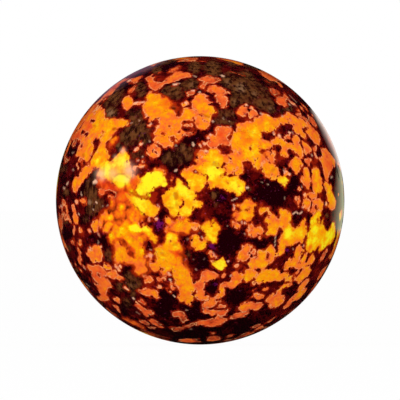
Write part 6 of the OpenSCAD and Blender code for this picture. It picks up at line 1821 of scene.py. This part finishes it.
    def glowing_colour(self, edge: Link, soft: Link, cloud: Link, mottle: Link,
                       grit: Link) -> bpy.types.NodeSocket:
        """Colours the glowing grains: hot in the middle, with pale rims, seams and embers.

        Args:
            edge: How far inside the nearest border, in millimetres.
            soft: How softly that border fades.
            cloud: The widest noise.
            mottle: The middle noise.
            grit: The finest noise.

        Returns:
            The colour.
        """
        warmth = self.read("warmth")
        heat = self.sum(self.sum(warmth, 1.0, cloud), self.mottle_heat, mottle)
        heat = self.sum(self.sum(heat, self.grit_heat, grit), -1.0, self.heat_mean)
        milky = self.within(soft, self.milky_softness)
        lump = self.times(milky, self.facets(self.lump_mm))
        heat = self.sum(heat, self.lump_heat, self.sum(lump, -self.lump_mean, milky))
        wide = self.sum(self.border_mm, 1.0, soft)
        heat = self.sum(heat, self.border_heat, self.step(edge, 0.0, wide, 1.0, 0.0))
        colour = self.ramp(heat)
        amber = add_node(self.tree, "VectorMath", {0: colour, 1: self.milky_tint},
                         operation="MULTIPLY")
        colour = self.mix(milky, colour, amber)
        colour = self.mix(self.read("ember"), colour, linear(EMBER))
        line = add_node(self.tree, "Math", {0: self.noise(self.veins), 1: self.vein_level,
                                            2: self.vein_half_width}, operation="COMPARE")
        line = self.times(line, self.within(cloud, self.vein_clouds))
        line = self.times(line, self.within(warmth, self.vein_warmth))
        colour = self.mix(line, colour, linear(VEIN))
        colour = self.mix(self.read("seam"), colour, linear(SEAM))
        rim = self.times(self.within(edge, self.rim_outer_mm),
                         self.within(edge, self.rim_inner_mm))
        rim = self.times(rim, self.within(soft, self.rim_softness))
        rim = self.times(rim, self.within(warmth, self.rim_warmth))
        rim = self.times(rim, self.within(self.noise(self.rims), self.rim_patches))
        return self.mix(rim, colour, linear(PALE_RIM))

    def ground_colour(self, edge: Link, soft: Link, cloud: Link, mottle: Link,
                      grit: Link) -> bpy.types.NodeSocket:
        """Colours the ground mass: maroon and near-black clouds, brown feldspar, red haloes.

        Args:
            edge: How far inside the nearest border, negative here, in millimetres.
            soft: How softly that border fades.
            cloud: The widest noise.
            mottle: The middle noise.
            grit: The finest noise.

        Returns:
            The colour.
        """
        shade = self.sum(self.sum(cloud, 1.0, mottle), self.grit_shade, grit)
        # The stored value adds random patches, painted glow spilt from the grains, and painted
        # shade along the rim.
        shade = self.sum(shade, self.glow_spill_and_tone_shade, self.read("tone_glow_and_shade"))
        maroon = self.within(shade, self.maroon_shades)
        colour = self.mix(maroon, linear(NEAR_BLACK), linear(MAROON))
        colour = self.mix(self.within(shade, self.dull_red_shades), colour, linear(DULL_RED))
        lath = self.noise(self.laths)
        olive = self.within(lath, self.olive_laths)
        wood = self.mix(olive, linear(STREAK_BROWN), linear(OLIVE_BROWN))
        brown = self.read("brown")
        tan = self.times(self.within(lath, self.tan_laths), self.within(brown, self.tan_stains))
        wood = self.mix(tan, wood, linear(TAN))
        amount = self.sum(-self.feldspar_mean, self.feldspar_share, brown)
        amount = self.sum(amount, 1.0, mottle)
        colour = self.mix(self.within(amount, self.feldspar_amounts), colour, wood)
        reach = self.sum(-self.deep_halo_mm, -1.0, soft)
        halo = self.step(edge, reach, 0.0, 0.0, self.deep_halo_share)
        colour = self.mix(halo, colour, linear(DEEP_HALO))
        reach = self.sum(-self.red_halo_mm, -self.red_halo_soft_mm, soft)
        patch = self.within(cloud, self.red_halo_clouds)
        reach = self.sum(reach, -self.red_halo_cloud_mm, patch)
        halo = self.step(edge, reach, 0.0, 0.0, self.red_halo_share)
        colour = self.mix(halo, colour, linear(RED_HALO))
        speck = self.times(self.within(grit, self.speck_grits),
                           self.within(cloud, self.speck_clouds))
        return self.mix(speck, colour, linear(SPECK))

    def colour_and_glow(self) -> tuple[bpy.types.NodeSocket, bpy.types.NodeSocket]:
        """Joins the grains' colour and the ground's along the ragged borders.

        Returns:
            The finished colour, and how much a point glows: inside a glowing grain, or on a pale
            mark, glint or painted lamp highlight.
        """
        soft = self.read("soft")
        cloud, mottle, grit = (self.noise(p) for p in (self.clouds, self.mottles, self.grits))
        edge = self.sum(self.read("edge"), self.mottle_wander, mottle)
        edge = self.sum(edge, self.grit_wander, grit)
        edge = self.sum(edge, self.facet_wander, self.facets(self.facet_mm))
        edge = self.sum(edge, -1.0, self.wander_mean)
        nick = self.within(self.noise(self.nicks), self.nick_places)
        edge = self.sum(edge, self.nick_wander, nick)
        half = self.sum(self.crisp_half_fade, self.soft_half_fade, soft)
        inside = self.step(edge, self.sum(0.0, -1.0, half), half)
        ground = self.ground_colour(edge, soft, cloud, mottle, grit)
        grain = self.glowing_colour(edge, soft, cloud, mottle, grit)
        colour = self.mix(inside, ground, grain)
        # Painted reflection: violet lamp light on the flecks' crystal faces.
        violet = self.sum(self.read("violet"), self.violet_grit, grit)
        violet = self.sum(violet, -1.0, self.violet_mean)
        colour = self.mix(self.within(violet, self.violet_amounts), colour, linear(VIOLET))
        # pale brings the pale marks, painted glints and the painted lamp highlight, which glow as
        # grains do.
        pale = self.read("pale")
        glowing = add_node(self.tree, "Math", {0: inside, 1: pale}, operation="MAXIMUM")
        return self.mix(pale, colour, linear(PALE_MARK_AND_HIGHLIGHT_WHITE)), glowing


def mineral_material(mineral: Mineral) -> bpy.types.Material:
    """Makes a mineral's polished finish.

    Args:
        mineral: Which mineral.

    Returns:
        The material. Its colour is split between what it reflects and what it gives out: a
        glowing grain, pale mark, glint or painted lamp highlight gives out GLOW_SHARE, and the
        ground between gives out none. The polish is a clear coat, so the glow fades as it
        leaves the face at a slant.
    """
    finish = FINISHES[mineral]
    material = bpy.data.materials.new(finish.name)
    material.use_nodes = True
    tree = material.node_tree
    tree.nodes.clear()
    paint = MosaicPaint(tree)
    colour, inside = paint.colour_and_glow()
    given = paint.times(inside, GLOW_SHARE)
    pits = add_node(tree, "Bump", {"Height": paint.noise(paint.pits), "Strength": PIT_SHARE,
                                   "Distance": finish.pit_depth_mm * MM})
    shader = add_node(tree, "BsdfPrincipled", {
        "Base Color": paint.mix(given, colour, BLACK),
        "Emission Color": paint.mix(given, BLACK, colour),
        "Emission Strength": GLOW_STRENGTH,
        "Roughness": finish.roughness,
        "IOR": finish.ior,
        "Specular IOR Level": 0.0,
        "Coat Weight": 1.0,
        "Coat Roughness": finish.roughness,
        "Coat IOR": finish.ior,
        "Coat Normal": pits,
        "Normal": pits,
    })
    surface = tree.nodes.new("ShaderNodeOutputMaterial")
    tree.links.new(shader, surface.inputs["Surface"])
    return material


@dataclass
class Studio:
    """A pale floor, soft light, a dark tent round the polish, and the camera."""

    radius: float
    camera_away: float = 3.2
    clip_end: float = 200.0
    sensor_mm: float = 36.0
    disc_share: float = 0.72125
    nudge_right: float = -0.000375
    nudge_up: float = 0.000925
    floor_half: float = 40.0
    tent_radius: float = 3.6
    tent_tint: str = "#180c0c"
    panel_away: float = 2.6
    ambient: float = 0.82
    floor_own_white: float = 0.97
    floor_paint: tuple[float, float, float, float] = (0.8, 0.8, 0.8, 1.0)
    key_watts: float = 12.0
    key_size: float = 1.6
    key_place: tuple[float, float, float] = (-0.7, -1.7, 0.9)
    key_turn_degrees: tuple[float, float, float] = (63.0, 0.0, -22.4)

    def build(self) -> None:
        """Makes everything round the ball."""
        self.camera()
        self.floor()
        self.world()
        self.key_light()
        self.tent()
        for reflection in REFLECTIONS:
            self.panel(reflection)

    def camera(self) -> None:
        """A long lens level with the ball's middle. The ball's disc fills disc_share of the width:
        lens = sensor / 2 * disc_share / tan(asin(radius / camera_away))."""
        lens = bpy.data.cameras.new("camera")
        lens.sensor_width = self.sensor_mm
        edge = math.tan(math.asin(self.radius / self.camera_away))
        lens.lens = self.sensor_mm / 2 * self.disc_share / edge
        lens.shift_x, lens.shift_y = self.nudge_right, self.nudge_up
        lens.clip_end = self.clip_end
        camera = bpy.data.objects.new("camera", lens)
        camera.location = (0.0, -self.camera_away, 0.0)
        camera.rotation_euler = (math.pi / 2, 0.0, 0.0)
        bpy.context.scene.collection.objects.link(camera)
        bpy.context.scene.camera = camera

    def surface(self, name: str, corners: Array, faces: list[tuple[int, ...]],
                shader: Callable[[bpy.types.NodeTree], bpy.types.NodeSocket]
                ) -> bpy.types.Object:
        """Makes a piece of the studio.

        Args:
            name: The piece's name.
            corners: Its points in metres.
            faces: Its faces.
            shader: Builds its surface in a node tree.

        Returns:
            The new object, marked as stage.
        """
        mesh = bpy.data.meshes.new(name)
        mesh.from_pydata(np.asarray(corners).tolist(), [], faces)
        material = bpy.data.materials.new(name)
        material.use_nodes = True
        tree = material.node_tree
        tree.nodes.clear()
        surface = tree.nodes.new("ShaderNodeOutputMaterial")
        tree.links.new(shader(tree), surface.inputs["Surface"])
        mesh.materials.append(material)
        thing = bpy.data.objects.new(name, mesh)
        bpy.context.scene.collection.objects.link(thing)
        return thing

    def floor(self) -> None:
        """A white floor under the ball, which keeps the ball's shadow."""
        def shader(tree: bpy.types.NodeTree) -> bpy.types.NodeSocket:
            """Mostly its own white to the camera, and pale paint to every other ray."""
            seen = add_node(tree, "LightPath", output="Is Camera Ray")
            paint = add_node(tree, "BsdfDiffuse", {"Color": self.floor_paint})
            white = add_node(tree, "Emission", {"Color": (1, 1, 1, 1), "Strength": 1.0})
            share = add_node(tree, "Math", {0: seen, 1: self.floor_own_white},
                             operation="MULTIPLY")
            return add_node(tree, "MixShader", {0: share, 1: paint, 2: white})
        f, z = self.floor_half, -self.radius
        corners = np.array([(-f, -f, z), (f, -f, z), (f, f, z), (-f, f, z)])
        floor = self.surface("floor", corners, [(0, 1, 2, 3)], shader)
        floor.visible_glossy = False

    def world(self) -> None:
        """White behind the ball, and a soft pale light from all round."""
        world = bpy.data.worlds.new("soft_room")
        bpy.context.scene.world = world
        world.use_nodes = True
        tree = world.node_tree
        tree.nodes.clear()
        path = add_node(tree, "LightPath", output="Is Camera Ray").node
        seen = add_node(tree, "Math", {0: path.outputs["Is Camera Ray"],
                                       1: path.outputs["Is Glossy Ray"]}, operation="ADD")
        seen = add_node(tree, "Math", {0: seen, 1: path.outputs["Is Transmission Ray"]},
                        operation="ADD", use_clamp=True)
        strength = add_node(tree, "MapRange", {"Value": seen, "To Min": self.ambient,
                                               "To Max": 1.0})
        light = add_node(tree, "Background", {"Color": (1, 1, 1, 1), "Strength": strength})
        surface = tree.nodes.new("ShaderNodeOutputWorld")
        tree.links.new(light, surface.inputs["Surface"])

    def key_light(self) -> None:
        """A broad soft lamp above the camera's left, kept out of the polish."""
        lamp = bpy.data.lights.new("key_light", "AREA")
        lamp.shape, lamp.size = "DISK", self.key_size
        lamp.energy = self.key_watts
        key = bpy.data.objects.new("key_light", lamp)
        key.location = self.key_place
        key.rotation_euler = [math.radians(turn) for turn in self.key_turn_degrees]
        key.visible_glossy = False
        key.visible_camera = False
        bpy.context.scene.collection.objects.link(key)

    def tent(self) -> None:
        """Dark cards all round, seen by the polish alone, so that the dark stone stays dark."""
        count_up, count_round = 12, 24
        up, turn = np.meshgrid(np.linspace(0, math.pi, count_up),
                               np.linspace(0, 2 * math.pi, count_round, endpoint=False),
                               indexing="ij")
        corners = self.tent_radius * np.stack(
            [np.sin(up) * np.cos(turn), np.sin(up) * np.sin(turn), np.cos(up)], axis=-1)
        number = np.arange(count_up * count_round).reshape(count_up, count_round)
        beside = np.roll(number, -1, axis=1)
        faces = np.stack([number[:-1], number[1:], beside[1:], beside[:-1]], -1).reshape(-1, 4)

        def shader(tree: bpy.types.NodeTree) -> bpy.types.NodeSocket:
            """The dim glow of dark card."""
            return add_node(tree, "Emission", {"Color": linear(self.tent_tint), "Strength": 1.0})
        tent = self.surface("dark_tent", corners.reshape(-1, 3), faces.tolist(), shader)
        self.seen_in_polish_only(tent)

    def panel(self, reflection: Reflection) -> None:
        """Hangs a pale panel where the polish shows it.

        Args:
            reflection: The patch that it lights. A line of sight v meets the ball at p, where
                the face looks along n = p / radius, and leaves along v - 2 (v . n) n. The
                panel's corner lies panel_away along that line.
        """
        patch = reflection.corners.reshape(-1, 2) * MM
        hit = lifted(patch, self.radius)
        sight = unit(hit - np.array([0.0, -self.camera_away, 0.0]))
        face = unit(hit)
        bounce = sight - 2 * (sight * face).sum(1, keepdims=True) * face
        corners = hit + bounce * self.panel_away
        count_along, count_across = reflection.corners.shape[:2]
        number = np.arange(len(patch)).reshape(count_along, count_across)
        faces = np.stack([number[:-1, :-1], number[1:, :-1], number[1:, 1:], number[:-1, 1:]], -1)

        def shader(tree: bpy.types.NodeTree) -> bpy.types.NodeSocket:
            """Light that fades towards the panel's edges as its stored strength does."""
            strength = add_node(tree, "Attribute", attribute_name="strength", output="Fac")
            return add_node(tree, "Emission", {"Color": linear(reflection.tint),
                                               "Strength": strength})
        panel = self.surface(reflection.name, corners, faces.reshape(-1, 4).tolist(), shader)
        strength = panel.data.attributes.new("strength", "FLOAT", "POINT")
        strength.data.foreach_set("value", reflection.strength.astype(np.float32).ravel())
        self.seen_in_polish_only(panel)

    def seen_in_polish_only(self, thing: bpy.types.Object) -> None:
        """Lets only the polish's reflections see a thing."""
        for ray in ("camera", "diffuse", "transmission", "shadow", "volume_scatter"):
            setattr(thing, f"visible_{ray}", False)


def mineral_of(name: str) -> Mineral:
    """Finds the mineral that a sub-part is made of.

    Args:
        name: The sub-part's name. Its first word tells the mineral.

    Returns:
        The mineral.
    """
    starts = {
        "ground": Mineral.GROUND, "orange": Mineral.ORANGE, "yellow": Mineral.YELLOW,
        "pale": Mineral.PALE_YELLOW, "brown": Mineral.FELDSPAR, "violet": Mineral.VIOLET,
    }
    return starts[name.split("_")[0]]


def main() -> None:
    """Builds the ball and its studio, and reports each piece."""
    logging.basicConfig(level=logging.INFO, format="%(message)s")
    boxes = np.array([[list(corner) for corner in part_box(name)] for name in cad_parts])
    span = boxes[:, 1].max(axis=0) - boxes[:, 0].min(axis=0)
    radius = float(span.min()) / 2 / MM
    names = ["ground_mass"] + sorted(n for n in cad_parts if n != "ground_mass")
    ball = BallMosaic(radius, names=names)
    ball.build()
    materials = {mineral: mineral_material(mineral) for mineral in Mineral}
    for number, name in enumerate(names):
        piece = ball.piece(number)
        mineral = mineral_of(name)
        piece.data.materials.append(materials[mineral])
        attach(piece, "root")
        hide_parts(name)
        log.info("%s: %d triangles", piece.name, len(piece.data.polygons))
    Studio(radius * MM).build()
    bpy.context.scene.view_settings.view_transform = "Standard"


if __name__ == "__main__":
    main()
